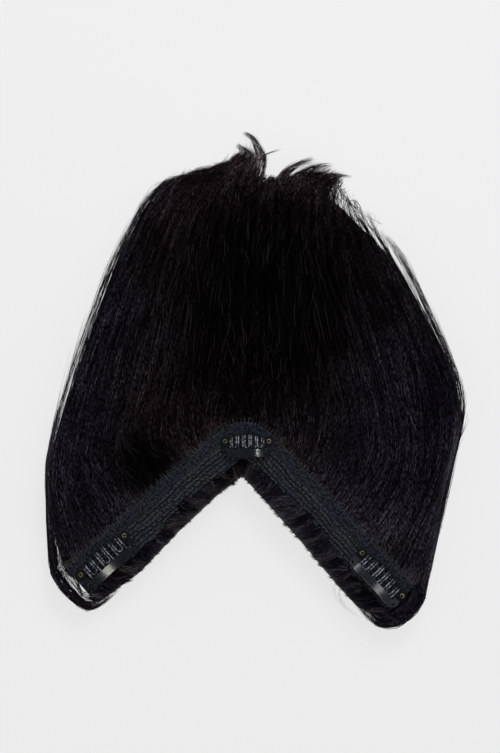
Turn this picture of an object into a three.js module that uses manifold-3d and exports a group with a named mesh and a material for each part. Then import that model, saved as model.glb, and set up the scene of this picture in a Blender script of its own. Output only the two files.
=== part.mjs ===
// A clip-in hair extension, lying on a table with its scalp side up. An elastic band bent into a V
// carries the hair on its underside and three snap clips on top. Millimetres, +Z up. +Y is the way
// the hair falls away from the band and +X is to the right. The origin is on the table, under the
// middle of the whole piece.
import * as THREE from "three";
import { mergeVertices } from "three/addons/utils/BufferGeometryUtils.js";
import Module from "manifold-3d";

const wasm = await Module();
wasm.setup();

// Elastic band: one ribbon bent into a V whose point is in the middle
const bandWidth = 18;
const bandThickness = 1.2;
const leftArmLength = 98;
const rightArmLength = 100;
const leftArmSlope = 42; // degrees that the left arm falls below level
const rightArmSlope = 47;
const innerCornerRadius = 1.5; // of the ribbon's inner edge at the point of the V
const cornerSteps = 12;

// Raised seams where the rows of hair are sewn through the band
const seamCount = 6;
const seamPitch = 2.05;
const seamHeight = 0.4;
const seamWidth = 1.4;
const seamMargin = 1.3; // from the band's inner edge to the middle of the first seam

// Hair: fallWidth is across the widest part, fallLength from the point of the V to the longest tip
const fallWidth = 204;
const fallLength = 156;
const hairDepth = 13; // height of the bed of hair that the band lies on
const rollOverhang = 10; // how far the rolled roots bulge past the band's inner edge at the most
const endOverhang = 8.5; // how far the hair bulges past each end of the band
const frontWrap = 0.3; // how much of the overhang the roll's front takes at the ends
const endWrapLength = 22; // stretch of band over which the hair turns round its end
const upperClearance = 2; // from the band's outer edge to where the hair starts to rise
const lockCount = 24;
const rollWave = 1.1; // how far the roll's edge wanders in and out, lock by lock

// Snap clips, in spring steel. Every clip lies on its own eyelet line.
const largeClip = { eyeletSpacing: 28.3, barReach: 7.3, barWidth: 4.1, combRise: 3.6 };
const smallClip = { eyeletSpacing: 21.1, barReach: 5.6, barWidth: 3.7, combRise: 3.4 };
const steelThickness = 0.5;
const clearance = 0.3; // between pieces that touch
const neckClearance = 0.5; // between the bow's necks and the pads, where the bow turns
const padRadius = 2.4;
const armWidth = 3;
const barArch = 1.2; // how far the middle of the bow stands above its ends
const bowCornerRadius = 2.3;
const bowStraightShare = 0.72; // how much of the eyelet spacing the bar's straight stretch spans
const bowStraightSteps = 5;
const bowCornerSteps = 5;
const sewingHoleRadius = 0.8;
const sewingHoleOffset = 0.5; // from the bar's centre line towards the eyelets
const toothWire = 0.6;
const toothHump = 0.9; // how far the middle of a tooth stands up
const toothFoot = 1; // from the spine to where a tooth begins to stand up
const toothPitchShare = 0.145; // of the eyelet spacing
const toothGapShare = 0.34; // half a hairpin's width, as a share of the pitch
const shortToothGap = 0.7; // from the bar's edge to the short hairpins
const longToothInset = 0.6; // from the long hairpins' tips to the bar's centre line
const toothLegSteps = 5;
const toothTurnSteps = 6;
const spineWidth = 0.9;
const spineSteps = 14;
const padSides = 20;
const smallSides = 12; // of holes and eyelets
const cutHeight = 4; // more than a clip's height
const eyeletBore = 0.42;
const eyeletBarrel = 0.68;
const eyeletFlange = 1.08;
const eyeletFlangeThickness = 0.4;
const rightClipOpening = 25; // degrees: the right clip lies unsnapped, the others are snapped shut

// Where the clips sit on the band
const leftClipInset = 17.6; // from the end of the arm to the middle of the clip
const rightClipInset = 15;
const leftClipRaise = 1.8; // of the eyelet line above the band's centre line
const rightClipRaise = 1.6;
const centreClipRaise = -0.2;
const centreClipShift = 1.7; // towards the right arm

// The flow of the hair, a row for each guide strand from the left end of the band to the right.
// at is a share of the band's length and roll a share of rollOverhang. The other columns are the
// places that the strand passes, across and along, as shares of fallWidth and fallLength.
const strands = [
  {
    at: 0, roll: 0.6,
    shoulder: [-0.476, -0.05], belly: [-0.427, 0.24], neck: [-0.324, 0.6], tip: [-0.225, 0.835],
  },
  {
    at: 0.12, roll: 1,
    shoulder: [-0.392, -0.01], belly: [-0.343, 0.26], neck: [-0.245, 0.62], tip: [-0.17, 0.9],
  },
  {
    at: 0.25, roll: 0.66,
    shoulder: [-0.284, 0.05], belly: [-0.24, 0.27], neck: [-0.167, 0.635], tip: [-0.085, 0.955],
  },
  {
    at: 0.38, roll: 0.55,
    shoulder: [-0.157, 0.14], belly: [-0.123, 0.31], neck: [-0.074, 0.655], tip: [-0.015, 0.98],
  },
  {
    at: 0.5, roll: 0.75,
    shoulder: [0.005, 0.22], belly: [0.01, 0.37], neck: [0.015, 0.667], tip: [0.03, 0.96],
  },
  {
    at: 0.62, roll: 0.74,
    shoulder: [0.167, 0.14], belly: [0.142, 0.32], neck: [0.103, 0.655], tip: [0.112, 0.92],
  },
  {
    at: 0.75, roll: 0.76,
    shoulder: [0.294, 0.04], belly: [0.27, 0.28], neck: [0.196, 0.635], tip: [0.192, 0.885],
  },
  {
    at: 0.88, roll: 1,
    shoulder: [0.412, -0.01], belly: [0.397, 0.27], neck: [0.294, 0.625], tip: [0.252, 0.81],
  },
  {
    at: 1, roll: 1,
    shoulder: [0.49, -0.02], belly: [0.524, 0.225], neck: [0.392, 0.61], tip: [0.324, 0.725],
  },
];

// The bed of hair along a strand, a row for each cross-section. leg counts the strand's places:
// 0 front of the roll, 1 under the band, 2 past the band, 3 shoulder, 4 belly, 5 neck, 6 tip.
// height is a share of hairDepth, and relief is how deep the valleys between locks are cut.
const sections = [
  { leg: 0, height: 0, relief: 0 },
  { leg: 0.02, height: 0.3, relief: 0.12 },
  { leg: 0.09, height: 0.62, relief: 0.1 },
  { leg: 0.22, height: 0.87, relief: 0.08 },
  { leg: 0.36, height: 0.97, relief: 0.04 },
  { leg: 0.52, height: 1, relief: 0 },
  { leg: 1, height: 1, relief: 0 },
  { leg: 2, height: 1, relief: 0 },
  { leg: 2.25, height: 1.07, relief: 0.03 },
  { leg: 2.55, height: 1.12, relief: 0.06 },
  { leg: 3, height: 1.1, relief: 0.08 },
  { leg: 3.5, height: 1.04, relief: 0.09 },
  { leg: 4, height: 0.95, relief: 0.1 },
  { leg: 4.35, height: 0.85, relief: 0.12 },
  { leg: 4.7, height: 0.73, relief: 0.14 },
  { leg: 5, height: 0.62, relief: 0.17 },
  { leg: 5.3, height: 0.5, relief: 0.22 },
  { leg: 5.6, height: 0.37, relief: 0.3 },
  { leg: 5.85, height: 0.22, relief: 0.4 },
  { leg: 6, height: 0, relief: 0 },
];
const lockProfile = [0, 0.75, 1, 0.8]; // height across one lock, from the valley on its left
const tipNotch = 0.42; // share of the last leg that a valley stops short of the lock's tip
const tipScatter = 0.1; // how much some locks are shorter than others, as a share of the last leg
const roundedShare = 0.045; // share of the band's length over which the sides round off

// Curled locks that stand out past the tips, a row for each: places that the lock passes,
// across and along, as shares of fallWidth and fallLength, and its width at the root.
const curls = [
  { root: [0.006, 0.84], bend: [0.024, 0.93], turn: [0.018, 0.985], tip: [-0.012, 1.025], width: 15 },
  { root: [-0.05, 0.85], bend: [-0.022, 0.925], turn: [-0.018, 0.967], tip: [-0.03, 1], width: 12 },
  { root: [0.052, 0.8], bend: [0.044, 0.9], turn: [0.034, 0.95], tip: [0.018, 0.985], width: 10 },
  { root: [0.11, 0.765], bend: [0.138, 0.875], turn: [0.18, 0.918], tip: [0.252, 0.885], width: 21 },
  { root: [0.085, 0.82], bend: [0.115, 0.915], turn: [0.16, 0.945], tip: [0.212, 0.945], width: 12 },
];
const curlHeight = 0.3; // of a curl at its root, as a share of hairDepth
const curlSteps = 10;
const curlEnd = 0.06; // how thick and wide the very tip is, as a share of the root
const curlTaper = 0.8;
const curlSection = [
  [1, 0],
  [0.5, 0.8],
  [0, 1],
  [-0.5, 0.8],
  [-1, 0],
]; // across and up

const radians = THREE.MathUtils.degToRad;
const bandSeat = hairDepth + clearance;
const bandTop = bandSeat + bandThickness;

// Solids

// A closed geometry as a solid that can be joined and cut.
function solidOf(geometry) {
  const bare = geometry.index ? geometry.toNonIndexed() : geometry.clone();
  bare.deleteAttribute("normal");
  bare.deleteAttribute("uv");
  const merged = mergeVertices(bare, 1e-4);
  return new wasm.Manifold(
    new wasm.Mesh({
      numProp: 3,
      vertProperties: new Float32Array(merged.attributes.position.array),
      triVerts: new Uint32Array(merged.index.array),
    }),
  );
}

function geometryOf(solid) {
  const mesh = solid.getMesh();
  return new THREE.BufferGeometry()
    .setAttribute("position", new THREE.BufferAttribute(new Float32Array(mesh.vertProperties), 3))
    .setIndex(new THREE.BufferAttribute(new Uint32Array(mesh.triVerts), 1))
    .toNonIndexed();
}

function fuse(geometries) {
  return geometries.map(solidOf).reduce((joined, piece) => joined.add(piece));
}

function geometryFrom(triangles) {
  const geometry = new THREE.BufferGeometry();
  geometry.setFromPoints(triangles.flat());
  geometry.computeVertexNormals();
  return geometry;
}

// A closed skin through rings of as many points each, capped at both ends. Each ring runs
// anticlockwise as seen from the next ring.
function loft(rings) {
  const triangles = [];
  const count = rings[0].length;
  for (let i = 0; i + 1 < rings.length; i++) {
    for (let j = 0; j < count; j++) {
      const k = (j + 1) % count;
      triangles.push([rings[i][j], rings[i][k], rings[i + 1][k]]);
      triangles.push([rings[i][j], rings[i + 1][k], rings[i + 1][j]]);
    }
  }
  const first = rings[0];
  const last = rings[rings.length - 1];
  for (const [a, b, c] of capOf(first)) {
    triangles.push([first[a], first[c], first[b]]);
  }
  for (const [a, b, c] of capOf(last)) {
    triangles.push([last[a], last[b], last[c]]);
  }
  return geometryFrom(triangles);
}

// Triangles that fill a flat ring, turning the same way as the ring does.
function capOf(ring) {
  const normal = new THREE.Vector3();
  ring.forEach((point, i) => {
    const next = ring[(i + 1) % ring.length];
    normal.add(new THREE.Vector3().crossVectors(point.clone().sub(ring[0]), next.clone().sub(ring[0])));
  });
  normal.normalize();
  const across = ring[1].clone().sub(ring[0]).normalize();
  const up = new THREE.Vector3().crossVectors(normal, across);
  const flat = ring.map((point) => new THREE.Vector2(point.dot(across), point.dot(up)));
  return THREE.ShapeUtils.triangulateShape(flat, []);
}

// A strip of steel along a level path. Each step of the path is { x, y, z, width }, with z at the
// strip's underside.
function strip(path) {
  const rings = path.map((step, i) => {
    const before = path[Math.max(i - 1, 0)];
    const after = path[Math.min(i + 1, path.length - 1)];
    const length = Math.hypot(after.x - before.x, after.y - before.y);
    const sideX = (-(after.y - before.y) / length) * (step.width / 2);
    const sideY = ((after.x - before.x) / length) * (step.width / 2);
    const top = step.z + steelThickness;
    return [
      new THREE.Vector3(step.x - sideX, step.y - sideY, step.z),
      new THREE.Vector3(step.x - sideX, step.y - sideY, top),
      new THREE.Vector3(step.x + sideX, step.y + sideY, top),
      new THREE.Vector3(step.x + sideX, step.y + sideY, step.z),
    ].reverse();
  });
  return loft(rings);
}

function disc(radius, height, x, y, z, sides) {
  const geometry = new THREE.CylinderGeometry(radius, radius, height, sides);
  geometry.rotateX(Math.PI / 2);
  geometry.translate(x, y, z + height / 2);
  return geometry;
}

// The band's line

const centreRadius = innerCornerRadius + bandWidth / 2;
const leftTurn = radians(90 + leftArmSlope);
const rightTurn = radians(90 - rightArmSlope);
const cornerLength = (leftTurn - rightTurn) * centreRadius;
const bandLength = leftArmLength + cornerLength + rightArmLength;
const cornerMiddle = leftArmLength + cornerLength / 2;

// The place on the band's centre line that is distance from its left end, with the direction
// along it, to the right, and the direction out of the V.
function bandAt(distance) {
  const intoCorner = THREE.MathUtils.clamp(distance - leftArmLength, 0, cornerLength);
  const turn = leftTurn - intoCorner / centreRadius;
  const along = new THREE.Vector2(Math.sin(turn), -Math.cos(turn));
  const out = new THREE.Vector2(Math.cos(turn), Math.sin(turn));
  const straight = distance - leftArmLength - intoCorner;
  const place = out.clone().multiplyScalar(centreRadius).addScaledVector(along, straight);
  return { place, along, out };
}

function makeBand() {
  const half = bandWidth / 2;
  const profile = [
    [-half, 0],
    [half, 0],
    [half, bandThickness],
  ];
  for (let i = seamCount - 1; i >= 0; i--) {
    const middle = -half + seamMargin + i * seamPitch;
    profile.push([middle + seamWidth / 2, bandThickness]);
    profile.push([middle + seamWidth / 4, bandThickness + seamHeight]);
    profile.push([middle - seamWidth / 4, bandThickness + seamHeight]);
    profile.push([middle - seamWidth / 2, bandThickness]);
  }
  profile.push([-half, bandThickness]);
  const distances = [0];
  for (let i = 0; i <= cornerSteps; i++) {
    distances.push(leftArmLength + (cornerLength * i) / cornerSteps);
  }
  distances.push(bandLength);
  const rings = distances.map((distance) => {
    const { place, out } = bandAt(distance);
    return profile.map(
      ([across, height]) =>
        new THREE.Vector3(place.x + out.x * across, place.y + out.y * across, bandSeat + height),
    );
  });
  return loft(rings);
}

// Hair

// A steady number from -1 to 1 for each lock, so that no two locks are alike.
function wander(lock, salt) {
  const wave = Math.sin(lock * 12.9898 + salt * 78.233) * 43758.5453;
  return (wave - Math.floor(wave)) * 2 - 1;
}

// Where a share of the band's length lies among the rows of the strands table.
function rowAt(share) {
  const i = Math.min(
    strands.findLastIndex((row) => row.at <= share),
    strands.length - 2,
  );
  return { i, within: (share - strands[i].at) / (strands[i + 1].at - strands[i].at) };
}

function rollShareAt(share) {
  const { i, within } = rowAt(share);
  return THREE.MathUtils.lerp(strands[i].roll, strands[i + 1].roll, within);
}

// A place column of the strands table at any share of the band's length.
function guideAt(column, share) {
  const { i, within } = rowAt(share);
  const points = strands.map((row) => new THREE.Vector3(...row[column], 0));
  const curve = new THREE.CatmullRomCurve3(points, false, "catmullrom", 0.5);
  const point = curve.getPoint((i + within) / (strands.length - 1));
  return new THREE.Vector3(point.x * fallWidth, point.y * fallLength, 0);
}

// The front edge of the rolled roots, rolled inwards of the band's centre line. It runs along each
// arm and turns sharply at the point of the V, where its places crowd together.
function rollAt(distance, rolled) {
  const side = distance < cornerMiddle ? -1 : 1;
  const { along, out } = bandAt(side < 0 ? 0 : bandLength);
  const depth = rolled - centreRadius;
  const meeting = depth * Math.tan((leftTurn - rightTurn) / 2);
  const lost = meeting + cornerLength / 2;
  const reach = meeting + Math.hypot(distance - cornerMiddle, lost) - lost;
  return out.multiplyScalar(-depth).addScaledVector(along, side * reach);
}

// The whole strand that leaves the band at a share of its length.
function strandAt(share, rollShift) {
  const distance = share * bandLength;
  const { place, along, out } = bandAt(distance);
  const toEnd = Math.min(distance, bandLength - distance);
  const side = share < 0.5 ? -1 : 1;
  const wrap = Math.max(0, 1 - toEnd / endWrapLength) ** 2;
  const at = (outward, past) =>
    new THREE.Vector3(
      place.x + out.x * outward + along.x * side * past * wrap,
      place.y + out.y * outward + along.y * side * past * wrap,
      0,
    );
  const rolled = bandWidth / 2 + rollOverhang * rollShareAt(share) + rollShift;
  const front = rollAt(distance, rolled).addScaledVector(along, side * endOverhang * frontWrap * wrap);
  return new THREE.CatmullRomCurve3(
    [
      new THREE.Vector3(front.x, front.y, 0),
      at(0, endOverhang),
      at(bandWidth / 2 + upperClearance, endOverhang),
      guideAt("shoulder", share),
      guideAt("belly", share),
      guideAt("neck", share),
      guideAt("tip", share),
    ],
    false,
    "catmullrom",
    0.5,
  );
}

// The bed: a grid of columns that follow the strands, four to a lock, and a row for each section.
// Its whole edge lies on the table, so one flat face closes it underneath.
function makeBed() {
  const perLock = lockProfile.length;
  const columns = lockCount * perLock;
  const lastLeg = sections[sections.length - 1].leg;
  const grid = [];
  for (let j = 0; j <= columns; j++) {
    const share = j / columns;
    const lock = Math.floor(j / perLock);
    const ridge = lockProfile[j % perLock];
    const curve = strandAt(share, rollWave * wander(lock, 1) * ridge);
    const toSide = Math.min(share, 1 - share) / roundedShare;
    const rounding = toSide < 1 ? Math.sqrt(1 - (1 - toSide) ** 2) : 1;
    const shortfall = tipNotch * (1 - ridge) + tipScatter * (1 + wander(lock, 2)) * ridge;
    grid.push(
      sections.map(({ leg, height, relief }) => {
        const lastPart = Math.max(0, leg - (lastLeg - 1));
        const point = curve.getPoint((leg - lastPart * shortfall) / lastLeg);
        point.z = hairDepth * height * rounding * (1 - relief * (1 - ridge));
        return point;
      }),
    );
  }
  const triangles = [];
  for (let j = 0; j < columns; j++) {
    for (let i = 0; i + 1 < sections.length; i++) {
      const [a, b, c, d] = [grid[j][i], grid[j + 1][i], grid[j + 1][i + 1], grid[j][i + 1]];
      triangles.push([a, b, c], [a, c, d]);
    }
  }
  const rows = sections.length - 1;
  const edge = [
    ...grid.map((column) => column[0]),
    ...grid[columns].slice(1, rows),
    ...grid.map((column) => column[rows]).reverse(),
    ...grid[0].slice(1, rows).reverse(),
  ];
  const flat = edge.map((point) => new THREE.Vector2(point.x, point.y));
  for (const [a, b, c] of THREE.ShapeUtils.triangulateShape(flat, [])) {
    triangles.push([edge[a], edge[c], edge[b]]);
  }
  return geometryFrom(triangles);
}

// One curled lock: a flat-bottomed strip that narrows to its tip.
function makeCurl({ root, bend, turn, tip, width }) {
  const places = [root, bend, turn, tip].map(
    ([across, along]) => new THREE.Vector3(across * fallWidth, along * fallLength, 0),
  );
  const curve = new THREE.CatmullRomCurve3(places);
  const rings = [];
  for (let i = 0; i <= curlSteps; i++) {
    const share = i / curlSteps;
    const point = curve.getPoint(share);
    const tangent = curve.getTangent(share);
    const side = new THREE.Vector3(-tangent.y, tangent.x, 0);
    const thin = Math.max(1 - share, curlEnd);
    const halfWidth = (width / 2) * thin ** curlTaper;
    const height = hairDepth * curlHeight * Math.sqrt(thin);
    rings.push(
      curlSection.map(([across, up]) =>
        point.clone().addScaledVector(side, halfWidth * across).setZ(height * up),
      ),
    );
  }
  return loft(rings);
}

function makeHair() {
  return geometryOf(fuse([makeBed(), ...curls.map(makeCurl)]));
}

// Clips. Each is drawn with its eyelet line along X, its bar towards -Y and the band's top at zero.

// The bow: the spring bar and its two arms, which end at the necks beside the pads.
function makeBow({ eyeletSpacing, barReach, barWidth }) {
  const halfSpacing = eyeletSpacing / 2;
  const neck = -padRadius - neckClearance;
  const barLevel = clearance + steelThickness + clearance;
  const line = new THREE.Path();
  line.moveTo(-halfSpacing, neck);
  line.lineTo(-halfSpacing, -barReach + bowCornerRadius);
  const cornerX = halfSpacing - bowCornerRadius;
  const cornerY = -barReach + bowCornerRadius;
  line.absarc(-cornerX, cornerY, bowCornerRadius, Math.PI, Math.PI * 1.5);
  for (let i = 0; i <= bowStraightSteps; i++) {
    line.lineTo((i / bowStraightSteps - 0.5) * eyeletSpacing * bowStraightShare, -barReach);
  }
  line.absarc(cornerX, cornerY, bowCornerRadius, Math.PI * 1.5, Math.PI * 2);
  line.lineTo(halfSpacing, neck);
  const path = [];
  for (const { x, y } of line.getPoints(bowCornerSteps)) {
    const last = path[path.length - 1];
    if (last && Math.hypot(x - last.x, y - last.y) < 0.01) {
      continue;
    }
    const down = THREE.MathUtils.clamp((neck - y) / (barReach + neck), 0, 1);
    const arch = barArch * (1 - (x / halfSpacing) ** 2);
    path.push({
      x,
      y,
      z: clearance + (barLevel - clearance + arch) * down,
      width: armWidth + (barWidth - armWidth) * down,
    });
  }
  const holeY = -barReach + sewingHoleOffset;
  const holes = [-1, 1].map((side) =>
    solidOf(disc(sewingHoleRadius, cutHeight, side * halfSpacing, holeY, -1, smallSides)),
  );
  return geometryOf(holes.reduce((left, hole) => left.subtract(hole), solidOf(strip(path))));
}

// How far a tooth stands up between the spine and the bar.
function humpAt(y, { barReach, barWidth, combRise }) {
  const low = -barReach + barWidth / 2;
  const share = THREE.MathUtils.clamp((y - low) / (combRise - toothFoot - low), 0, 1);
  return toothHump * Math.sin(Math.PI * share);
}

function spineAt(x, { eyeletSpacing, combRise }) {
  const pad = padRadius / 3;
  return pad + (combRise - pad) * Math.cos((Math.PI * x) / eyeletSpacing);
}

// One hairpin tooth: down from the spine, round its tip and up again.
function makeHairpin(middle, halfGap, tip, clip) {
  const side = (x) => {
    const top = spineAt(x, clip);
    return Array.from({ length: toothLegSteps }, (_, i) => ({
      x,
      y: top + ((tip + halfGap - top) * i) / toothLegSteps,
    }));
  };
  const turn = Array.from({ length: toothTurnSteps + 1 }, (_, i) => {
    const angle = Math.PI * (1 + i / toothTurnSteps);
    return { x: middle + halfGap * Math.cos(angle), y: tip + halfGap + halfGap * Math.sin(angle) };
  });
  const steps = [...side(middle - halfGap), ...turn, ...side(middle + halfGap).reverse()];
  return strip(steps.map(({ x, y }) => ({ x, y, z: clearance + humpAt(y, clip), width: toothWire })));
}

function makeProng(x, tip, clip) {
  const top = spineAt(x, clip);
  return strip(
    Array.from({ length: toothLegSteps + 1 }, (_, i) => {
      const y = top + ((tip - top) * i) / toothLegSteps;
      return { x, y, z: clearance + humpAt(y, clip), width: toothWire };
    }),
  );
}

// The comb: two pads for the eyelets, the arched spine between them, and teeth that hang from it.
// Short hairpins stop above the bar and long ones go under it.
function makeComb(clip) {
  const { eyeletSpacing, barReach, barWidth } = clip;
  const toothPitch = eyeletSpacing * toothPitchShare;
  const halfGap = toothPitch * toothGapShare;
  const shortTip = -barReach + barWidth / 2 + shortToothGap;
  const longTip = -barReach + longToothInset;
  const spine = Array.from({ length: spineSteps + 1 }, (_, i) => {
    const x = (i / spineSteps - 0.5) * eyeletSpacing;
    return { x, y: spineAt(x, clip), z: clearance, width: spineWidth };
  });
  const pieces = [strip(spine)];
  for (const tooth of [-2, -1, 0, 1, 2]) {
    const tip = tooth % 2 ? longTip : shortTip;
    pieces.push(makeHairpin(tooth * toothPitch, halfGap, tip, clip));
  }
  for (const side of [-1, 1]) {
    pieces.push(makeProng(side * (2 * toothPitch + 2 * halfGap), longTip, clip));
    pieces.push(disc(padRadius, steelThickness, (side * eyeletSpacing) / 2, 0, clearance, padSides));
  }
  const holes = [-1, 1].map((side) =>
    solidOf(disc(eyeletBarrel + clearance, cutHeight, (side * eyeletSpacing) / 2, 0, -1, smallSides)),
  );
  return geometryOf(holes.reduce((left, hole) => left.subtract(hole), fuse(pieces)));
}

function makeEyelet() {
  const foot = clearance;
  const seat = clearance + steelThickness + clearance;
  const crown = seat + eyeletFlangeThickness;
  const rim = eyeletFlangeThickness / 2;
  const profile = [
    [eyeletBore, foot],
    [eyeletBarrel, foot],
    [eyeletBarrel, seat],
    [eyeletFlange, seat],
    [eyeletFlange, crown - rim],
    [eyeletFlange - rim, crown],
    [eyeletBore, crown],
    [eyeletBore, foot],
  ].map(([radius, height]) => new THREE.Vector2(radius, height));
  const geometry = new THREE.LatheGeometry(profile, smallSides);
  geometry.rotateX(Math.PI / 2);
  return geometry;
}

// Materials

const hairMaterial = new THREE.MeshStandardMaterial({ color: 0x0d0b0c, roughness: 0.45, metalness: 0 });
const bandMaterial = new THREE.MeshStandardMaterial({ color: 0x181b24, roughness: 0.9, metalness: 0 });
const steelMaterial = new THREE.MeshStandardMaterial({ color: 0x15161a, roughness: 0.3, metalness: 0.6 });
const brassMaterial = new THREE.MeshStandardMaterial({ color: 0xc9b98a, roughness: 0.35, metalness: 1 });

function meshOf(name, geometry, material) {
  const mesh = new THREE.Mesh(geometry, material);
  mesh.name = name;
  return mesh;
}

// A clip of four pieces: its comb and two eyelets, and the bow, which turns about its necks.
function makeClip(name, clip, opening) {
  const group = new THREE.Group();
  group.add(meshOf(`${name}_comb`, makeComb(clip), steelMaterial));
  for (const [label, side] of [
    ["left", -1],
    ["right", 1],
  ]) {
    const eyelet = meshOf(`${name}_${label}_eyelet`, makeEyelet(), brassMaterial);
    eyelet.position.x = (side * clip.eyeletSpacing) / 2;
    group.add(eyelet);
  }
  const hingeY = -padRadius - neckClearance;
  const hingeZ = clearance + steelThickness / 2;
  const hinge = new THREE.Group();
  hinge.position.set(0, hingeY, hingeZ);
  hinge.rotation.x = -radians(opening);
  const bow = meshOf(`${name}_bow`, makeBow(clip), steelMaterial);
  bow.position.set(0, -hingeY, -hingeZ);
  hinge.add(bow);
  group.add(hinge);
  return group;
}

// Puts a clip on the band: distance is from the band's left end, raise is of the eyelet line above
// the band's centre line, and shift is along the eyelet line.
function placeClip(group, distance, raise, shift = 0) {
  const { place, along, out } = bandAt(distance);
  place.addScaledVector(out, raise).addScaledVector(along, shift);
  group.position.set(place.x, place.y, bandTop + seamHeight);
  group.rotation.z = Math.atan2(along.y, along.x);
  return group;
}

const piece = new THREE.Group();
piece.add(meshOf("hair_fall", makeHair(), hairMaterial));
piece.add(meshOf("elastic_band", makeBand(), bandMaterial));

const leftClip = makeClip("left_clip", largeClip, 0);
const centreClip = makeClip("centre_clip", smallClip, 0);
const rightClip = makeClip("right_clip", largeClip, rightClipOpening);
const levelPoint = leftArmLength + (leftTurn - Math.PI / 2) * centreRadius;
piece.add(placeClip(leftClip, leftClipInset, leftClipRaise));
piece.add(placeClip(centreClip, levelPoint, centreClipRaise, centreClipShift));
piece.add(placeClip(rightClip, bandLength - rightClipInset, rightClipRaise));

// The origin goes under the middle of the whole piece.
const box = new THREE.Box3().setFromObject(piece, true);
const middle = box.getCenter(new THREE.Vector3());
piece.position.set(-middle.x, -middle.y, -box.min.z);

const root = new THREE.Group();
root.add(piece);
export default root;
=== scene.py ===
# %% [markdown]
# # A clip-in hair extension
#
# The object is an elastic band bent into a V, three snap clips on top of it, and black straight
# hair sewn underneath. It lies on a table with the clips up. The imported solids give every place
# and size, and this lesson dresses them: the hair becomes thousands of strands, the band gets its
# knit and its stitches, and the clips get rounded edges and lacquer. Everything is in metres.

# %% Load the frame
import math
import bmesh
import bpy
import numpy as np
from mathutils import Matrix, Vector
from mathutils.bvhtree import BVHTree


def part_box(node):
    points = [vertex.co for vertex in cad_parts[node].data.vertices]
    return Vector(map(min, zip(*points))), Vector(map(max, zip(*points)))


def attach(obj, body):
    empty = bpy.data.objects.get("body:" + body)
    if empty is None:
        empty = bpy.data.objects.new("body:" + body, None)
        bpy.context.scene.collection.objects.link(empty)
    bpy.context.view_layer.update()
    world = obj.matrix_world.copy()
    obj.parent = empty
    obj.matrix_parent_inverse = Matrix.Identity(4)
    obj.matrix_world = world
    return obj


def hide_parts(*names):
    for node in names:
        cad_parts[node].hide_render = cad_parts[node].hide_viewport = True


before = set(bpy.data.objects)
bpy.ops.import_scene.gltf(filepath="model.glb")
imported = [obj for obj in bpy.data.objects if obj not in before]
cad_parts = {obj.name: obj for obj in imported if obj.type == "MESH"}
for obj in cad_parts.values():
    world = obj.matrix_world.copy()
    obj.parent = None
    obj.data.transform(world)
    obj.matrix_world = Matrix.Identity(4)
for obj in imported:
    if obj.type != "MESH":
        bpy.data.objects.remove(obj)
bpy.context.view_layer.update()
MM = 0.001
MAIN_BODY = "hairpiece"
rng = np.random.default_rng(7)

# %% [markdown]
# ## The band's line
#
# All the hair leaves the band, so the band's line comes first. It is a left arm, a short arc and a
# right arm. The line is worked out from the same few sizes as the solids, and its place is read off
# the band's box, so nothing has to be fitted by eye.

# %% Band line
BAND_WIDTH = 18 * MM
LEFT_ARM = 98 * MM
RIGHT_ARM = 100 * MM
LEFT_TURN = math.radians(90 + 42)
RIGHT_TURN = math.radians(90 - 47)
CENTRE_RADIUS = 1.5 * MM + BAND_WIDTH / 2
CORNER = (LEFT_TURN - RIGHT_TURN) * CENTRE_RADIUS
BAND_LENGTH = LEFT_ARM + CORNER + RIGHT_ARM
CORNER_MIDDLE = LEFT_ARM + CORNER / 2
HALF_BAND = BAND_WIDTH / 2

band_low, band_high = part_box("elastic_band")
OUTER_RADIUS = CENTRE_RADIUS + HALF_BAND
left_end = math.cos(LEFT_TURN) * OUTER_RADIUS - math.sin(LEFT_TURN) * LEFT_ARM
POINT = np.array([band_low[0] - left_end, band_high[1] - OUTER_RADIUS])


def band_at(distance):
    """The place on the band's centre line, the direction along it and the direction out of the V."""
    distance = np.asarray(distance, float)
    into = np.clip(distance - LEFT_ARM, 0, CORNER)
    turn = LEFT_TURN - into / CENTRE_RADIUS
    along = np.stack([np.sin(turn), -np.cos(turn)], -1)
    out = np.stack([np.cos(turn), np.sin(turn)], -1)
    straight = (distance - LEFT_ARM - into)[..., None]
    return POINT + out * CENTRE_RADIUS + along * straight, along, out


print("band", round(BAND_LENGTH / MM, 1), "mm long, point of the V at", np.round(POINT / MM, 2))

# %% [markdown]
# ## The camera
#
# The photograph looks straight down, at 2.06 pixels to a millimetre. A long lens one and a quarter
# metres up gives that flat look. The image is taller than wide, and Blender fits the sensor's width
# to the longer side, so the field is worked out from the picture's height.

# %% Camera
PHOTO_WIDTH_PX = 500
PHOTO_HEIGHT_PX = 753
PIXELS_PER_METRE = 2.06 / MM
POINT_PX = (243.5, 462.0)
CAMERA_HEIGHT = 1.25
SENSOR = 36.0
middle_x = POINT[0] + (PHOTO_WIDTH_PX / 2 - POINT_PX[0]) / PIXELS_PER_METRE
middle_y = POINT[1] + (POINT_PX[1] - PHOTO_HEIGHT_PX / 2) / PIXELS_PER_METRE
picture_plane = band_high[2] / 2
camera_data = bpy.data.cameras.new("camera")
camera_data.sensor_width = SENSOR
field = PHOTO_HEIGHT_PX / PIXELS_PER_METRE
camera_data.lens = SENSOR * (CAMERA_HEIGHT - picture_plane) / field
camera = bpy.data.objects.new("camera", camera_data)
camera.location = (middle_x, middle_y, CAMERA_HEIGHT)
bpy.context.collection.objects.link(camera)
bpy.context.scene.camera = camera
print("lens", round(camera_data.lens, 1), "mm, field", round(field, 3), "m high")

# %% [markdown]
# ## The flow of the hair
#
# On the real piece every strand starts under the band, square to it, and then turns to fall one way.
# A table of nine guide strands holds that flow, as shares of the width and length of the fall.
# Every other strand is a blend of its two neighbours, drawn as one smooth curve through eight
# places, numbered as legs 0 to 7: the front of the rolled roots, under the band, past the band,
# shoulder, belly, neck, tip, and the sweep that the tips take along the outline.

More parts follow.
